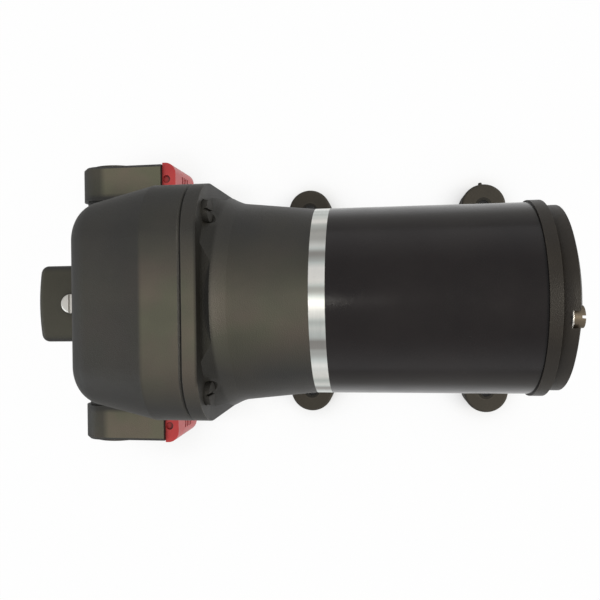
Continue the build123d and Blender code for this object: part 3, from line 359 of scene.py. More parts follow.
# %% Dust that settles on upper faces
dust_group, enter, leave = start_group("settled_dust", {"Amount": 0.3}, ["Mask"])
tree = dust_group
lying = facing_up(tree, 0.1, 0.95)
clouds = noise(tree, enter["Place"], scale=38.0, detail=5.0, roughness=0.65)
cloudy = rescale(tree, clouds, (0.38, 0.7), (0.2, 1))
specks = rescale(tree, noise(tree, enter["Place"], scale=1900.0), (0.55, 0.75), (0.5, 1))
feed(tree, product(tree, lying, cloudy, specks, enter["Amount"]), leave["Mask"])
print("group:", dust_group.name)

# %% [markdown]
# ### Turning lines
# A lathe leaves fine lines round the axis. The place is stretched so that noise varies fast along
# the motor and slowly round it, which gives both the relief and a faint light and dark.

# %% Fine lines left by a turning tool
lines_numbers = {"Lines": 5200.0, "Streaks": 70.0}
lines_group, enter, leave = start_group("turned_lines", lines_numbers, ["Height", "Shade"])
tree = lines_group
parts = split(tree, enter["Place"])
stretched = join(
    tree,
    X=product(tree, parts["X"], enter["Lines"]),
    Y=product(tree, parts["Y"], enter["Streaks"]),
    Z=product(tree, parts["Z"], enter["Streaks"]),
)
scored = noise(tree, stretched, scale=1.0, detail=2.0)
feed(tree, scored, leave["Height"])
feed(tree, rescale(tree, scored, (0.3, 0.7)), leave["Shade"])
print("group:", lines_group.name)

# %% [markdown]
# ### Hairline scratches
# Handling leaves thin, nearly parallel scratches. Stretched noise crosses its middle value along
# long lines, and only the places close to that value are kept, in a few patches.

# %% Hairline scratches
scratch_group, enter, leave = start_group("hairlines", {"Scale": 260.0, "Amount": 0.5}, ["Mask"])
tree = scratch_group
bend = {"Vector": enter["Place"], "Rotation": (0.4, 0.3, 0.9), "Scale": (1.0, 14.0, 9.0)}
bent = result(tree, "ShaderNodeMapping", bend)
line = noise(tree, bent, enter["Scale"], detail=1.0)
thin = rescale(tree, distance(tree, line, 0.5), (0.006, 0.0))
some = rescale(tree, noise(tree, enter["Place"], scale=90.0), (0.52, 0.62))
feed(tree, product(tree, thin, some, enter["Amount"]), leave["Mask"])
print("group:", scratch_group.name)

# %% [markdown]
# ### Painted sheen
# Where the plastic faces up, a painted grey-green sheen lightens it, as it would look lit from
# above. It follows the normal like dust does, but it is smooth, and ambient occlusion thins it, so
# the hollows stay dark as painted shade.

# %% Painted sheen on upward faces
sheen_group, enter, leave = start_group("painted_sheen", {"Reach": 0.004, "Amount": 0.5}, ["Mask"])
tree = sheen_group
facing = facing_up(tree, 0.7, 1.0)
exposed = rescale(tree, openness(tree, enter["Reach"]), (0.55, 0.95))
clouds = rescale(tree, noise(tree, enter["Place"], scale=30.0, detail=3.0), (0.3, 0.7), (0.6, 1))
# painted sheen: lighter where the surface faces up and is open, darker in hollows as painted shade
feed(tree, product(tree, facing, exposed, clouds, enter["Amount"]), leave["Mask"])
print("group:", sheen_group.name)

# %% [markdown]
# ## Finishes
# Each finish starts from a Principled shader with its constant numbers on it. Colour, roughness and
# relief then vary through the shared groups. Helpers put a new material on its nodes, place a group
# in its tree and feed the shader at the end.

# %% Helpers for materials
finishes = {}
dressed = set()
edge_polish = 0.12
edge_highlight = 1.3


def start_finish(name, node_names, **constants):
    """New material, which goes on its nodes of the frame at once."""
    material, tree, shader = start_material(name, **constants)
    for node_name in node_names:
        mesh = nodes[node_name].data
        mesh.materials.clear()
        mesh.materials.append(material)
    finishes[name] = material
    dressed.update(node_names)
    print(name, "on", ", ".join(node_names))
    return tree, shader, object_place(tree)


def use_group(tree, group, place, **values):
    """Outputs of a shared group that is placed in this tree with its own numbers."""
    return add_node(tree, "ShaderNodeGroup", dict(values, Place=place), node_tree=group).outputs


def grain_and_wear(tree, place, scale, edge_width, edge_amount):
    """Relief and blotch of the grain, and the mask of the worn edges."""
    grain = use_group(tree, grain_group, place, Scale=scale)
    wear = use_group(tree, wear_group, place, Width=edge_width, Amount=edge_amount)
    return grain["Height"], grain["Blotch"], wear["Mask"]


def lay_finish(tree, shader, colour, roughness, relief, depth, strength=1.0):
    """Colour, roughness and relief. The relief bends only the light, and its depth is in metres."""
    bump = result(tree, "ShaderNodeBump", {"Height": relief, "Distance": depth, "Strength": strength})
    drive(tree, shader, Base_Color=colour, Roughness=roughness, Normal=bump)


def smoother_edges(tree, roughness, wear):
    """Roughness that falls where the edges are rubbed."""
    return calculate(tree, "ADD", roughness, product(tree, wear, -edge_polish))


# %% [markdown]
# ### Plastic of the two housings
# The head and the bell housing are glass-filled black plastic. The nose is dark. Behind it, on the
# neck and on the flat tops of the ports, a painted sheen turns it olive where it faces up, as lit from
# above. The sheen thins out towards both sides, sooner on the +Y side, which is painted shade on the
# side away from the light. Painted shade darkens the tight seams, which ambient occlusion finds, and
# fills the groove behind the flange. A fine parting line runs round both mouldings at the height of
# the motor's axis.

# %% Where painted sheen and painted shade lie on the housings
nose_end = (-0.094, -0.092)
neck_start = (-0.072, -0.060)
far_side = (0.002, 0.026)
near_side = (-0.036, -0.008)
port_inner = (0.049, 0.051)
port_front = (-0.1365, -0.1335)
groove_x = -0.0701
groove_side = (0.0019, 0.003)
groove_end = (0.028, 0.031)
axis_z = 0.063


def sheen_zone(tree, parts):
    """Where the painted sheen lies: thin on the nose, full behind it, and fullest on the port tops."""
    behind_nose = rescale(tree, parts["X"], nose_end, (0.22, 1))
    on_neck = rescale(tree, parts["X"], neck_start, (1, 0.62))
    far_fade = rescale(tree, parts["Y"], far_side, (1.04, 0.1))
    near_fade = rescale(tree, parts["Y"], near_side, (0.4, 1.04))
    at_middle = calculate(tree, "MINIMUM", far_fade, near_fade)
    on_body = product(tree, behind_nose, on_neck, at_middle)
    on_ports = rescale(tree, distance(tree, parts["Y"], 0.0), port_inner, (0, 1.45))
    flat_top = rescale(tree, parts["X"], port_front, (0.3, 1))
    return calculate(tree, "MAXIMUM", on_body, product(tree, on_ports, flat_top))


def painted_shade_zone(tree, parts):
    """Where painted shade darkens: in tight seams, and along the groove on the four flat sides."""
    in_seams = rescale(tree, openness(tree, reach=0.004), (0.4, 0.8), (0.9, 0))
    in_groove = rescale(tree, distance(tree, parts["X"], groove_x), groove_side, (0.85, 0))
    from_middle = distance(tree, parts["Y"], 0.0)
    from_axis = distance(tree, parts["Z"], axis_z)
    on_flats = rescale(tree, calculate(tree, "MINIMUM", from_middle, from_axis), groove_end, (1, 0))
    return calculate(tree, "MAXIMUM", in_seams, product(tree, in_groove, on_flats))


print("motor axis at height", axis_z, "and groove at", groove_x)

# %% Plastic of the housings
parting_line = (0.0, 0.00016)
tree, shader, place = start_finish(
    "housing_plastic", ["upper_housing", "lower_housing"], IOR=1.48, Specular_IOR_Level=0.3
)
parts = split(tree, place)
relief, blotch, wear = grain_and_wear(tree, place, 2200.0, edge_width=0.0007, edge_amount=0.4)
sheen_and_dust = use_group(tree, sheen_group, place, Amount=0.9)["Mask"]
marks = use_group(tree, scratch_group, place, Amount=0.25)["Mask"]
body = blend(tree, blotch, (0.021, 0.021, 0.021), (0.029, 0.028, 0.026))
tint = rescale(tree, noise(tree, place, scale=55.0, detail=3.0), (0.35, 0.65))
sheen_colour = blend(tree, tint, (0.106, 0.106, 0.074), (0.126, 0.104, 0.083))
# painted sheen: olive on upward faces behind the nose, as lit from above, thinner towards +Y as painted
# shade
with_sheen = blend(tree, product(tree, sheen_and_dust, sheen_zone(tree, parts)), body, sheen_colour)
rubbed = blend(tree, calculate(tree, "MAXIMUM", wear, marks), with_sheen, (0.12, 0.115, 0.1))
# painted shade: near black in the seams and in the groove behind the flange
with_painted_shade = blend(tree, painted_shade_zone(tree, parts), rubbed, (0.007, 0.0065, 0.005))
uneven = smoother_edges(tree, rescale(tree, blotch, (0, 1), (0.44, 0.52)), wear)
parting = rescale(tree, distance(tree, parts["Z"], axis_z), parting_line, (0.8, 0))
lay_finish(tree, shader, with_painted_shade, uneven, calculate(tree, "ADD", relief, parting), depth=0.00012)

# %% [markdown]
# ### Other plastics
# The switch cover, the rear cap and the white working parts inside are the same kind of moulding in
# other colours and grains, so one function makes them all.

# %% Other moulded plastics
def moulded_plastic(name, node_names, colours, roughness, scale, depth, sheen_amount=0.0):
    """Satin plastic with mould grain and a painted sheen on upward faces. The last colour is that of the
    worn edges.
    """
    colour, lit_colour, worn_colour = colours
    tree, shader, place = start_finish(name, node_names, IOR=1.48, Specular_IOR_Level=0.3)
    relief, blotch, wear = grain_and_wear(tree, place, scale, edge_width=0.0006, edge_amount=0.5)
    sheen_and_dust = use_group(tree, sheen_group, place, Amount=sheen_amount)["Mask"]
    marks = use_group(tree, scratch_group, place, Amount=0.25)["Mask"]
    body = blend(tree, blotch, colour, lit_colour)
    # painted sheen: lighter on upward faces, as lit from above
    with_sheen = blend(tree, sheen_and_dust, body, (0.105, 0.098, 0.07))
    rubbed = blend(tree, calculate(tree, "MAXIMUM", wear, marks), with_sheen, worn_colour)
    uneven = smoother_edges(tree, rescale(tree, blotch, (0, 1), (roughness, roughness + 0.08)), wear)
    lay_finish(tree, shader, rubbed, uneven, relief, depth)


moulded_plastic(
    "cover_plastic", ["switch_cover", "switch_body", "switch_plunger"],
    colours=((0.026, 0.025, 0.023), (0.034, 0.032, 0.029), (0.1, 0.095, 0.08)),
    roughness=0.42, scale=2600.0, depth=0.00009, sheen_amount=0.9,
)
moulded_plastic(
    "cap_plastic", ["rear_cap", "brush_card"],
    colours=((0.013, 0.0105, 0.0085), (0.019, 0.0155, 0.012), (0.06, 0.054, 0.045)),
    roughness=0.42, scale=3000.0, depth=0.00008,
)
moulded_plastic(
    "inner_plastic", ["valve_plate", "outer_pistons", "wobble_plate", "micro_switch"],
    colours=((0.55, 0.53, 0.47), (0.62, 0.6, 0.54), (0.75, 0.73, 0.68)),
    roughness=0.4, scale=1800.0, depth=0.00006,
)

# %% [markdown]
# ### Red clips
# The port clips are dyed through with a strong red and are smoother than the housings, so they get
# a thin clear coat. Their edges rub paler, towards pink. The thumb dimple and the slots get a painted
# shade of deep red, placed by ambient occlusion over a short reach.

# %% Red clip plastic
tree, shader, place = start_finish(
    "clip_plastic", ["port_clip_left", "port_clip_right"], IOR=1.48, Coat_Weight=0.1, Coat_Roughness=0.25
)
relief, blotch, wear = grain_and_wear(tree, place, 3200.0, edge_width=0.0005, edge_amount=0.5)
body = blend(tree, blotch, (0.40, 0.022, 0.026), (0.50, 0.038, 0.038))
rubbed = blend(tree, wear, body, (0.62, 0.14, 0.12))
# painted shade: deep red in the dimple and the slots, found by ambient occlusion
hollow_shade = rescale(tree, openness(tree, reach=0.0025), (0.55, 0.92), (0.9, 0))
shaded = blend(tree, hollow_shade, rubbed, (0.16, 0.004, 0.006))
uneven = rescale(tree, blotch, (0, 1), (0.32, 0.42))
lay_finish(tree, shader, shaded, uneven, relief, depth=0.00005)

# %% [markdown]
# ### Enamel of the motor
# The motor can is rolled steel under stoved black enamel. The enamel is nearly black by itself and
# is seen mostly by what it mirrors: dark above, and the white ground along both long edges. A low
# index of refraction keeps the crest dark and still lets the edges brighten.

# %% Black enamel of the motor
tree, shader, place = start_finish("motor_enamel", ["motor_shell"], IOR=1.36)
marks = use_group(tree, scratch_group, place, Scale=200.0, Amount=0.22)["Mask"]
sheen_and_dust = use_group(tree, dust_group, place, Amount=0.03)["Mask"]
clouds = rescale(tree, noise(tree, place, scale=35.0, detail=3.0), (0.35, 0.65))
body = blend(tree, clouds, (0.0065, 0.0048, 0.0056), (0.0095, 0.0072, 0.0078))
scratched = blend(tree, marks, body, (0.06, 0.055, 0.055))
dusty = blend(tree, sheen_and_dust, scratched, (0.2, 0.19, 0.18))
uneven = rescale(tree, noise(tree, place, scale=55.0, detail=4.0), (0.3, 0.7), (0.17, 0.27))
peel = noise(tree, place, scale=600.0, detail=2.0)
lay_finish(tree, shader, dusty, uneven, peel, depth=0.00003, strength=0.6)

# %% [markdown]
# ### Powder coat of the base
# The bent base plate is powder coated: a pebbled black skin that chips to bare steel at its edges.

# %% Black powder coat of the base
tree, shader, place = start_finish("base_coat", ["base_plate"], IOR=1.5)
pebble = noise(tree, place, scale=1400.0, detail=1.0)
wear = use_group(tree, wear_group, place, Width=0.0004, Amount=0.5)["Mask"]
chipped = blend(tree, wear, (0.022, 0.022, 0.023), (0.3, 0.29, 0.28))
uneven = rescale(tree, pebble, (0.3, 0.7), (0.42, 0.56))
drive(tree, shader, Metallic=rescale(tree, wear, (0.4, 0.9), (0, 0.8)))
lay_finish(tree, shader, chipped, uneven, pebble, depth=0.0001)

# %% [markdown]
# ### The bright band
# The front bell of the motor is cast aluminium, turned bright where it shows between the housing
# and the enamel. Its colour carries a painted highlight: noise that reads only the angle round the
# axis is turned so that the band is white on its crest and greyer round it, changing round the band
# but not across it. A painted shade darkens it beside the crest on the +Y side. The turning lines
# add a fine relief and a faint light and dark along the band.

# %% Turned aluminium of the band
highlight_turn = 2.3
shade_angle = 0.7
shade_spread = (0.06, 0.2)


def painted_highlight_tone(tree, angle):
    """Painted highlight round the axis: dark, cool grey and white in turn, with the white set on the crest
    by highlight_turn.
    """
    around = {"W": calculate(tree, "ADD", angle, highlight_turn), "Scale": 3.0, "Detail": 1.5, "Roughness": 0.6}
    highlight_noise = result(tree, "ShaderNodeTexNoise", around, noise_dimensions="1D")
    tone = add_node(tree, "ShaderNodeValToRGB", {0: highlight_noise})
    dull, bright = tone.color_ramp.elements
    dull.position = 0.36
    dull.color = (0.30, 0.29, 0.275, 1)
    bright.position = 0.62
    bright.color = (0.93, 0.92, 0.89, 1)
    tone.color_ramp.elements.new(0.48).color = (0.62, 0.66, 0.64, 1)
    return tone.outputs[0]


tree, shader, place = start_finish("turned_aluminium", ["front_bell"], Metallic=1.0)
parts = split(tree, place)
lines = use_group(tree, lines_group, place, Lines=5200.0, Streaks=60.0)
marks = use_group(tree, scratch_group, place, Amount=0.4)["Mask"]
above_axis = calculate(tree, "SUBTRACT", parts["Z"], axis_z)
angle = calculate(tree, "ARCTAN2", parts["Y"], above_axis)
side_shade = rescale(tree, distance(tree, angle, shade_angle), shade_spread, (0.75, 0))
# painted highlight and painted shade: white on the crest, darker beside it on the +Y side
side_shaded = blend(tree, side_shade, painted_highlight_tone(tree, angle), (0.3, 0.285, 0.265))
body = blend(tree, product(tree, lines["Shade"], 0.12), side_shaded, (0.5, 0.49, 0.47))
scratched = blend(tree, marks, body, (0.4, 0.39, 0.38))
uneven = rescale(tree, lines["Shade"], (0, 1), (0.3, 0.45))
lay_finish(tree, shader, scratched, uneven, lines["Height"], depth=0.00005)

# %% [markdown]
# ### Plated and bare metals
# Screws, sleeves, the cam, the core and the copper differ in colour and shine, but each has a grain,
# duller patches and edges that catch the light. One function takes these numbers.

# %% Function for a plain metal
def plain_metal(name, node_names, colours, roughness, scale, depth, wear_amount):
    """Metal with a slight grain, dulled in patches by the second colour, and lighter at its worn edges as a
    painted highlight.
    """
    colour, dull_colour = colours
    tree, shader, place = start_finish(name, node_names, Metallic=1.0)
    relief, blotch, wear = grain_and_wear(tree, place, scale, edge_width=0.0003, edge_amount=wear_amount)
    bright = tuple(min(1.0, edge_highlight * value) for value in colour)
    body = blend(tree, blotch, colour, dull_colour)
    # worn edges lightened by edge_highlight: partly wear, partly a painted highlight
    rubbed = blend(tree, wear, body, bright)
    uneven = rescale(tree, blotch, (0, 1), (roughness, roughness + 0.12))
    lay_finish(tree, shader, rubbed, uneven, relief, depth)


# %% Metals of the screws and sleeves
plain_metal(
    "nickel_plate",
    ["cover_screw", "piston_screws", "cam_set_screw", "bell_screws", "base_screws", "switch_screws"],
    colours=((0.82, 0.8, 0.76), (0.6, 0.58, 0.54)),
    roughness=0.34, scale=3000.0, depth=0.00003, wear_amount=0.5,
)
plain_metal(
    "black_oxide", ["head_screws"], colours=((0.05, 0.048, 0.044), (0.07, 0.067, 0.062)),
    roughness=0.48, scale=2600.0, depth=0.00004, wear_amount=0.3,
)
plain_metal(
    "phosphate", ["foot_sleeves"], colours=((0.03, 0.029, 0.027), (0.042, 0.04, 0.036)),
    roughness=0.5, scale=1800.0, depth=0.00004, wear_amount=0.1,
)
plain_metal(
    "yellow_zinc", ["tie_bolts", "switch_adjuster"], colours=((0.19, 0.16, 0.12), (0.1, 0.08, 0.06)),
    roughness=0.44, scale=2600.0, depth=0.00003, wear_amount=0.5,
)

# %% Metals inside the motor and the drive
plain_metal(
    "die_cast", ["drive_cam"], colours=((0.42, 0.43, 0.44), (0.34, 0.35, 0.36)),
    roughness=0.45, scale=1200.0, depth=0.00008, wear_amount=0.6,
)
plain_metal(
    "sheet_stack", ["armature_core"], colours=((0.22, 0.22, 0.23), (0.15, 0.15, 0.16)),
    roughness=0.5, scale=1500.0, depth=0.00005, wear_amount=0.4,
)
plain_metal(
    "copper", ["armature_windings", "commutator"], colours=((0.72, 0.36, 0.22), (0.5, 0.22, 0.12)),
    roughness=0.35, scale=1800.0, depth=0.00006, wear_amount=0.3,
)
plain_metal(
    "spring_steel", ["brush_spring_left", "brush_spring_right", "switch_spring"],
    colours=((0.45, 0.45, 0.46), (0.36, 0.36, 0.37)),
    roughness=0.3, scale=2200.0, depth=0.00002, wear_amount=0.2,
)

# %% [markdown]
# ### Ground steel
# Bearing rings and the shaft are ground, so they get the turning lines again, finer and brighter.

# %% Ground bearing steel
rings = [name for name in nodes if name.endswith(("bearing_outer", "bearing_inner"))]
tree, shader, place = start_finish("ground_steel", sorted(rings) + ["motor_shaft"], Metallic=1.0)
lines = use_group(tree, lines_group, place, Lines=9000.0, Streaks=90.0)
shade = blend(tree, lines["Shade"], (0.5, 0.5, 0.5), (0.66, 0.66, 0.66))
uneven = rescale(tree, lines["Shade"], (0, 1), (0.15, 0.26))
lay_finish(tree, shader, shade, uneven, lines["Height"], depth=0.00001)

# %% [markdown]
# ### Rubber, ferrite and carbon
# These are dull dark solids. Rubber gathers dust and turns brown-grey, and the rims of the feet are
# scuffed paler; the valves inside stay clean.

# %% Rubber, ferrite and carbon
def dull_solid(name, node_names, colours, roughness, scale, depth, dust_amount=0.02):
    """Dull solid, such as rubber, ferrite or carbon. The last colour is that of the scuffed edges."""
    colour, pale_colour, scuffed_colour = colours
    tree, shader, place = start_finish(name, node_names, IOR=1.5, Specular_IOR_Level=0.35)
    relief, blotch, scuff = grain_and_wear(tree, place, scale, edge_width=0.0009, edge_amount=0.8)
    sheen_and_dust = use_group(tree, dust_group, place, Amount=dust_amount)["Mask"]
    body = blend(tree, blotch, colour, pale_colour)
    scuffed = blend(tree, scuff, body, scuffed_colour)
    dusty = blend(tree, sheen_and_dust, scuffed, (0.16, 0.14, 0.11))
    uneven = rescale(tree, blotch, (0, 1), (roughness, roughness + 0.1))
    lay_finish(tree, shader, dusty, uneven, relief, depth)


dull_solid(
    "foot_rubber", ["rubber_feet", "lead_grommet"],
    colours=((0.026, 0.023, 0.018), (0.036, 0.031, 0.025), (0.085, 0.078, 0.064)),
    roughness=0.62, scale=1600.0, depth=0.0001, dust_amount=0.12,
)
dull_solid(
    "valve_rubber",
    ["inlet_valves", "outlet_valve", "valve_gasket", "diaphragm", "diaphragm_centres", "switch_diaphragm"],
    colours=((0.02, 0.02, 0.021), (0.028, 0.028, 0.029), (0.05, 0.05, 0.05)),
    roughness=0.5, scale=2200.0, depth=0.00004,
)
dull_solid(
    "ferrite", ["magnets"],
    colours=((0.06, 0.06, 0.063), (0.08, 0.08, 0.083), (0.12, 0.12, 0.12)),
    roughness=0.6, scale=900.0, depth=0.0001,
)
dull_solid(
    "carbon", ["brush_left", "brush_right"],
    colours=((0.03, 0.03, 0.032), (0.05, 0.05, 0.052), (0.09, 0.09, 0.09)),
    roughness=0.45, scale=2400.0, depth=0.00004,
)

# %% Check that every node has a finish
bare = sorted(set(nodes) - dressed)
print("nodes without a finish:", bare)

# %% [markdown]
# ## Pieces that repeat
# Wire, washers and windings are one shape many times over, so Geometry Nodes make them. A tree takes
# a small host mesh, a point for each copy or a path, and named sizes. It ends by turning its
# instances into real mesh and setting the finish, because the model that is handed on holds plain
# meshes only. The result is copied off its host, which is then thrown away with its modifier.

# %% Helpers that start and end a tree
def start_piece_tree(name, sizes):
    """New tree with a geometry input, named sizes and a finish."""
    inputs = {"Geometry": "NodeSocketGeometry", **sizes, "Finish": "NodeSocketMaterial"}
    return start_tree(name, "GeometryNodeTree", inputs, {"Geometry": "NodeSocketGeometry"})


def end_piece_tree(tree, enter, leave, shape):
    """Real mesh, then the finish."""
    real = result(tree, "GeometryNodeRealizeInstances", {0: shape})
    finish = {"Geometry": real, "Material": enter["Finish"]}
    feed(tree, result(tree, "GeometryNodeSetMaterial", finish), leave[0])


# %% Helpers for shapes inside a tree
def wire_section(tree, radius, corners):
    """Round section of a wire."""
    return result(tree, "GeometryNodeCurvePrimitiveCircle", {"Resolution": corners, "Radius": radius})


def sweep(tree, line, section, closed_ends=False):
    """Body that a section leaves along a line."""
    feeds = {"Curve": line, "Profile Curve": section, "Fill Caps": closed_ends}
    return result(tree, "GeometryNodeCurveToMesh", feeds)


def copy_on(tree, points, shape, rotation=(0, 0, 0)):
    """Copy of a shape on every point."""
    feeds = {"Points": points, "Instance": shape, "Rotation": rotation}
    return result(tree, "GeometryNodeInstanceOnPoints", feeds)


def share_of_turn(tree, number):
    """Turn of each copy, when so many copies share one whole turn."""
    step = calculate(tree, "DIVIDE", 2 * math.pi, number)
    return product(tree, result(tree, "GeometryNodeInputIndex"), step)


def put_together(tree, *shapes):
    """All the shapes as one."""
    node = add_node(tree, "GeometryNodeJoinGeometry")
    for shape in shapes:
        feed(tree, shape, node.inputs[0])
    return node.outputs[0]


# %% Helpers that grow a piece
def grow_piece(name, tree, host_mesh, sizes, finish, body):
    """Run a tree on a host mesh and keep what it makes as a plain piece that rides on a body."""
    host = add_object(name + "_host", host_mesh)
    modifier = host.modifiers.new("grow", "NODES")
    modifier.node_group = tree
    wanted = dict(sizes, Finish=finishes[finish])
    for socket in tree.interface.items_tree:
        if socket.item_type == "SOCKET" and socket.in_out == "INPUT" and socket.name in wanted:
            modifier[socket.identifier] = wanted[socket.name]
    bpy.context.view_layer.update()
    evaluated = host.evaluated_get(bpy.context.evaluated_depsgraph_get())
    mesh = bpy.data.meshes.new_from_object(evaluated)
    bpy.data.objects.remove(host)
    piece = add_object(name, mesh)
    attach(piece, body)
    print(name, "on", body, "with", len(mesh.polygons), "faces")
    return piece


def point_mesh(name, places):
    """Mesh of loose points."""
    mesh = bpy.data.meshes.new(name)
    mesh.from_pydata([tuple(place) for place in places], [], [])
    return mesh


# %% Find the separate solids of a node
def solids_of(name):
    """Boxes of the separate solids in a frame node, read from a merged copy of its mesh."""
    copy = bmesh.new()
    copy.from_mesh(nodes[name].data)
    bmesh.ops.remove_doubles(copy, verts=copy.verts, dist=0.000001)
    unseen = set(copy.verts)
    boxes = []
    while unseen:
        found = [unseen.pop()]
        for vertex in found:
            for edge in vertex.link_edges:
                other = edge.other_vert(vertex)
                if other in unseen:
                    unseen.discard(other)
                    found.append(other)
        low = Vector([min(vertex.co[axis] for vertex in found) for axis in range(3)])
        high = Vector([max(vertex.co[axis] for vertex in found) for axis in range(3)])
        boxes.append((low, high))
    copy.free()
    return sorted(boxes, key=lambda box: tuple(box[0]))


for name in ("tie_bolts", "head_screws", "rubber_feet"):
    print(name, "has", len(solids_of(name)), "solids")

# %% [markdown]
# ### Springs of round wire
# The switch spring and the brush springs are wound from round wire, with their end turns closed so
# that they sit flat. A spiral curve gives the turns. Its height is then eased with a map range, so
# that the first and last part of a turn stay level, and a small circle run along it makes the wire.

# %% Tree for a wire spring
spring_sizes = {
    "Turns": 5.0,
    "Coil Radius": 0.003,
    "Length": 0.01,
    "Wire Radius": 0.0004,
    "Turn": (0.0, 0.0, 0.0),
}
level_ends = (0.14, 0.86)
spring_tree, enter, leave = start_piece_tree("wire_spring", spring_sizes)
tree = spring_tree
turns = {
    "Resolution": 28,
    "Rotations": enter["Turns"],
    "Start Radius": enter["Coil Radius"],
    "End Radius": enter["Coil Radius"],
    "Height": enter["Length"],
}
spiral = result(tree, "GeometryNodeCurveSpiral", turns)
along = add_node(tree, "GeometryNodeSplineParameter").outputs["Factor"]
height = product(tree, rescale(tree, along, level_ends, (0, 1)), enter["Length"])
spot = split(tree, result(tree, "GeometryNodeInputPosition"))
eased = {"Geometry": spiral, "Position": join(tree, X=spot["X"], Y=spot["Y"], Z=height)}
coil = result(tree, "GeometryNodeSetPosition", eased)
wire = sweep(tree, coil, wire_section(tree, enter["Wire Radius"], 10), closed_ends=True)
smooth = result(tree, "GeometryNodeSetShadeSmooth", {0: wire})
end_piece_tree(tree, enter, leave, copy_on(tree, enter["Geometry"], smooth, enter["Turn"]))
print("tree:", spring_tree.name)

# %% Wind the springs
wire_radius = 0.0004
switch_seat_x = -0.1467
brush_seat_y = 0.0285


def wind_spring(node_name, number, turns, fixed_end):
    """Round-wire spring in a frame node's room, along x (0) or y (1); its fixed end is not used."""
    low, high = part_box(node_name)
    middle = (low + high) / 2
    start = middle.copy()
    start[number] = low[number] + wire_radius
    sizes = {
        "Turns": turns,
        "Coil Radius": (high.z - low.z) / 2 - wire_radius,
        "Length": high[number] - low[number] - 2 * wire_radius,
        "Wire Radius": wire_radius,
        "Turn": (0.0, math.pi / 2, 0.0) if number == 0 else (-math.pi / 2, 0.0, 0.0),
    }
    host_mesh = point_mesh(node_name, [start])
    name = node_name + "_wire"
    piece = grow_piece(name, spring_tree, host_mesh, sizes, "spring_steel", "housing")
    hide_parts(node_name)
    anchor = middle.copy()
    anchor[number] = fixed_end
    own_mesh(piece)


wind_spring("switch_spring", 0, 7.0, switch_seat_x)
wind_spring("brush_spring_left", 1, 4.0, brush_seat_y)
wind_spring("brush_spring_right", 1, 4.0, -brush_seat_y)

# %% [markdown]
# ### Toothed washers
# Each screw that holds the housings and each tie bolt of the motor sits on a thin washer whose bent
# teeth keep it from turning back. One tree makes a ring, sets teeth round it and puts a washer on
# every point of the host mesh, so one list of places is enough for all of them.

# %% Tree for toothed washers
washer_sizes = {
    "Teeth": 14,
    "Ring Radius": 0.0045,
    "Ring Width": 0.0008,
    "Thickness": 0.0005,
    "Tooth Length": 0.0009,
}
tooth_bend = math.radians(22)
washer_tree, enter, leave = start_piece_tree("toothed_washer", washer_sizes)
tree = washer_tree
strip = {"Width": enter["Ring Width"], "Height": enter["Thickness"]}
strip_section = result(tree, "GeometryNodeCurvePrimitiveQuadrilateral", strip)
ring = sweep(tree, wire_section(tree, enter["Ring Radius"], 48), strip_section)
rim = {"Vertices": enter["Teeth"], "Radius": enter["Ring Radius"]}
tooth_size = join(
    tree,
    X=enter["Tooth Length"],
    Y=product(tree, enter["Tooth Length"], 0.8),
    Z=product(tree, enter["Thickness"], 0.8),
)
bent_tooth = {
    "Geometry": result(tree, "GeometryNodeMeshCube", {"Size": tooth_size}),
    "Translation": join(tree, X=product(tree, enter["Tooth Length"], 0.6)),
    "Rotation": (tooth_bend, 0, 0),
}
tooth = result(tree, "GeometryNodeTransform", bent_tooth)
facing_out = join(tree, Z=share_of_turn(tree, enter["Teeth"]))
teeth = copy_on(tree, result(tree, "GeometryNodeMeshCircle", rim), tooth, facing_out)
washer = put_together(tree, ring, teeth)
facing_back = (0, math.pi / 2, 0)
end_piece_tree(tree, enter, leave, copy_on(tree, enter["Geometry"], washer, facing_back))
print("tree:", washer_tree.name)

# %% Set the washers under their heads
washer_thickness = 0.0005
tooth_length = 0.0008
washer_overhang = 0.0002
bolt_head_length = 0.0045
screw_head_length = 0.0034


def set_washers(name, node_name, head_length, finish):
    """Washers under heads that face the rear cap, just ahead of each head's seat."""
    places = []
    for low, high in solids_of(node_name):
        middle = (low + high) / 2
        places.append((high.x - head_length + washer_thickness / 2, middle.y, middle.z))
    ring_radius = (high.z - low.z) / 2 + washer_overhang
    sizes = {"Ring Radius": ring_radius, "Thickness": washer_thickness, "Tooth Length": tooth_length}
    grow_piece(name, washer_tree, point_mesh(name, places), sizes, finish, "housing")


set_washers("bolt_washers", "tie_bolts", bolt_head_length, "nickel_plate")
set_washers("head_washers", "head_screws", screw_head_length, "black_oxide")

# %% [markdown]
# ### Windings of the motor
# Each coil of the armature lies in two slots, five slots apart, and its wires run out at the ends
# and across to the other slot. The path of one coil is drawn as a closed line: out along the upper
# half of a slot, round the end in the outer layer, back along the lower half of the other slot and
# home in the inner layer. The tree gives the line seven wires and repeats it for every slot.

# %% Draw the path of one coil
slots = 12
slots_spanned = 5
copper_radius = 0.00042
core_low, core_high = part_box("armature_core")
coils_low, coils_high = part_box("armature_windings")
rim_depth = 0.0017
layer_depth = 0.0028
outer_run = (coils_high.z - coils_low.z) / 2 - rim_depth
inner_run = outer_run - layer_depth
least_reach = 0.0012
layer_lift = 0.0011
room_for_wires = 0.0057
free_reach = core_low.x - coils_low.x - room_for_wires
end_sink = 0.0068
end_roundness = 0.7
end_steps = 14


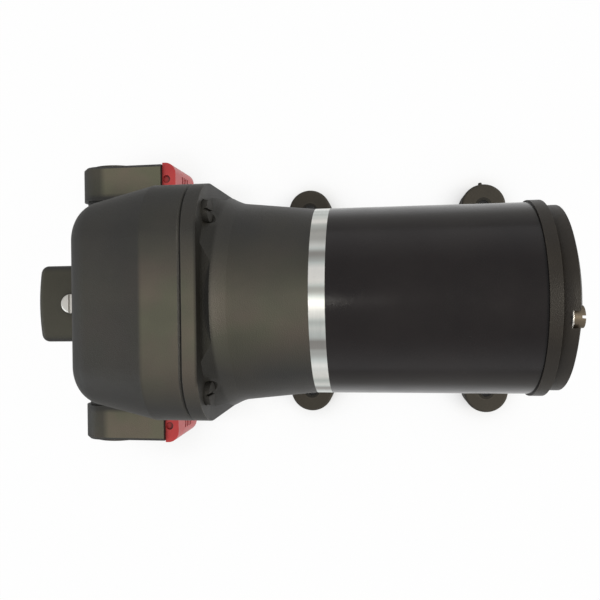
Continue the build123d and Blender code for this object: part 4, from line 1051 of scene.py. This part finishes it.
def end_turn(face_x, outwards, start_angle, end_angle, start_radius, end_radius):
    """Points of a bundle that leaves one slot, crosses the end of the core and enters another."""
    side = 1 if start_radius > end_radius else -1
    middle_radius = (start_radius + end_radius) / 2
    half_gap = abs(start_radius - end_radius) / 2
    points = []
    for step in range(end_steps + 1):
        share = step / end_steps
        hump = math.sin(math.pi * share)
        layer = math.cos(math.pi * share) * side
        angle = start_angle + (end_angle - start_angle) * share
        radius = middle_radius + layer * half_gap - hump * end_sink
        lift = layer_lift * (1 + layer) * min(1.0, 3 * hump)
        reach = least_reach + free_reach * hump**end_roundness + lift
        points.append((face_x + outwards * reach, radius * math.sin(angle), radius * math.cos(angle)))
    return points


span = 2 * math.pi * slots_spanned / slots
path = end_turn(core_high.x, 1, 0.0, span, outer_run, inner_run)
path += end_turn(core_low.x, -1, span, 0.0, inner_run, outer_run)
loop_mesh = bpy.data.meshes.new("coil_path")
loop_mesh.from_pydata(path, [(number, (number + 1) % len(path)) for number in range(len(path))], [])
print("coil path of", len(path), "points, runs at", round(outer_run, 4), "and", round(inner_run, 4))

# %% Tree for the windings
winding_sizes = {"Coils": slots, "Wires": 6, "Wire Radius": copper_radius, "Axis Height": axis_z}
wires_apart = 2.05
winding_tree, enter, leave = start_piece_tree("windings", winding_sizes)
tree = winding_tree
coil_line = result(tree, "GeometryNodeMeshToCurve", {0: enter["Geometry"]})
section = wire_section(tree, enter["Wire Radius"], 6)
ring = {"Vertices": enter["Wires"], "Radius": product(tree, enter["Wire Radius"], wires_apart)}
outer_wires = copy_on(tree, result(tree, "GeometryNodeMeshCircle", ring), section)
all_wires = put_together(tree, outer_wires, section)
real_wires = result(tree, "GeometryNodeRealizeInstances", {0: all_wires})
rope = result(tree, "GeometryNodeSetShadeSmooth", {0: sweep(tree, coil_line, real_wires)})
stops = result(tree, "GeometryNodeMeshLine", {"Count": enter["Coils"], "Offset": (0, 0, 0)})
about_axis = join(tree, X=share_of_turn(tree, enter["Coils"]))
coils = copy_on(tree, stops, rope, about_axis)
raised = {"Geometry": coils, "Translation": join(tree, Z=enter["Axis Height"])}
end_piece_tree(tree, enter, leave, result(tree, "GeometryNodeTransform", raised))
print("tree:", winding_tree.name)

# %% Wind the armature
winding_piece = grow_piece(
    "armature_wires", winding_tree, loop_mesh, winding_sizes, "copper", "rotor"
)
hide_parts("armature_windings")

# %% [markdown]
# ## The stub on one foot
# One rear foot still carries the stub where the rubber was let into its mould. It is a single small
# piece, so it is built by hand: a short cone that points outwards, with its edges rounded.

# %% Shape the stub
stub_length = 0.0018
stub_radius = 0.0011
stub_tip_radius = stub_radius * 0.7
stub_rounding = stub_radius * 0.3
sharp_angle = 1.0
cone = {"radius1": stub_radius, "radius2": stub_tip_radius, "depth": stub_length}
stub_shape = bmesh.new()
bmesh.ops.create_cone(stub_shape, cap_ends=True, segments=24, **cone)
two_sided = [edge for edge in stub_shape.edges if len(edge.link_faces) == 2]
rims = [edge for edge in two_sided if edge.calc_face_angle() > sharp_angle]
bmesh.ops.bevel(stub_shape, geom=rims, offset=stub_rounding, segments=3, profile=0.5, affect="EDGES")
print("stub of", len(stub_shape.faces), "faces, from", len(rims), "sharp edges")

# %% Leave the stub on the foot
stub_angle = math.radians(97)
stub_drop = 0.0019
stub_gap = 0.0001
foot_low, foot_high = solids_of("rubber_feet")[-1]
foot_middle = (foot_low + foot_high) / 2
foot_round = (foot_high.x - foot_low.x) / 2
outwards = Vector((math.cos(stub_angle), math.sin(stub_angle), 0))
foot_top = Vector((foot_middle.x, foot_middle.y, foot_high.z - stub_drop))
stub_place = foot_top + outwards * (foot_round + stub_gap)
stand = Matrix.Translation(stub_place) @ outwards.to_track_quat("Z", "Y").to_matrix().to_4x4()
bmesh.ops.transform(stub_shape, matrix=stand, verts=stub_shape.verts)
stub_mesh = bpy.data.meshes.new("foot_stub")
stub_shape.to_mesh(stub_mesh)
stub_shape.free()
stub_mesh.materials.append(finishes["foot_rubber"])
stub = add_object("foot_stub", stub_mesh)
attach(stub, "housing")
print("foot_stub at", [round(value, 4) for value in stub_place])

# %% [markdown]
# ## Closing
# The look of the colours is set to Standard, so that a colour shows as it was written.

# %% Set the colour look and close
bpy.context.scene.view_settings.view_transform = "Standard"
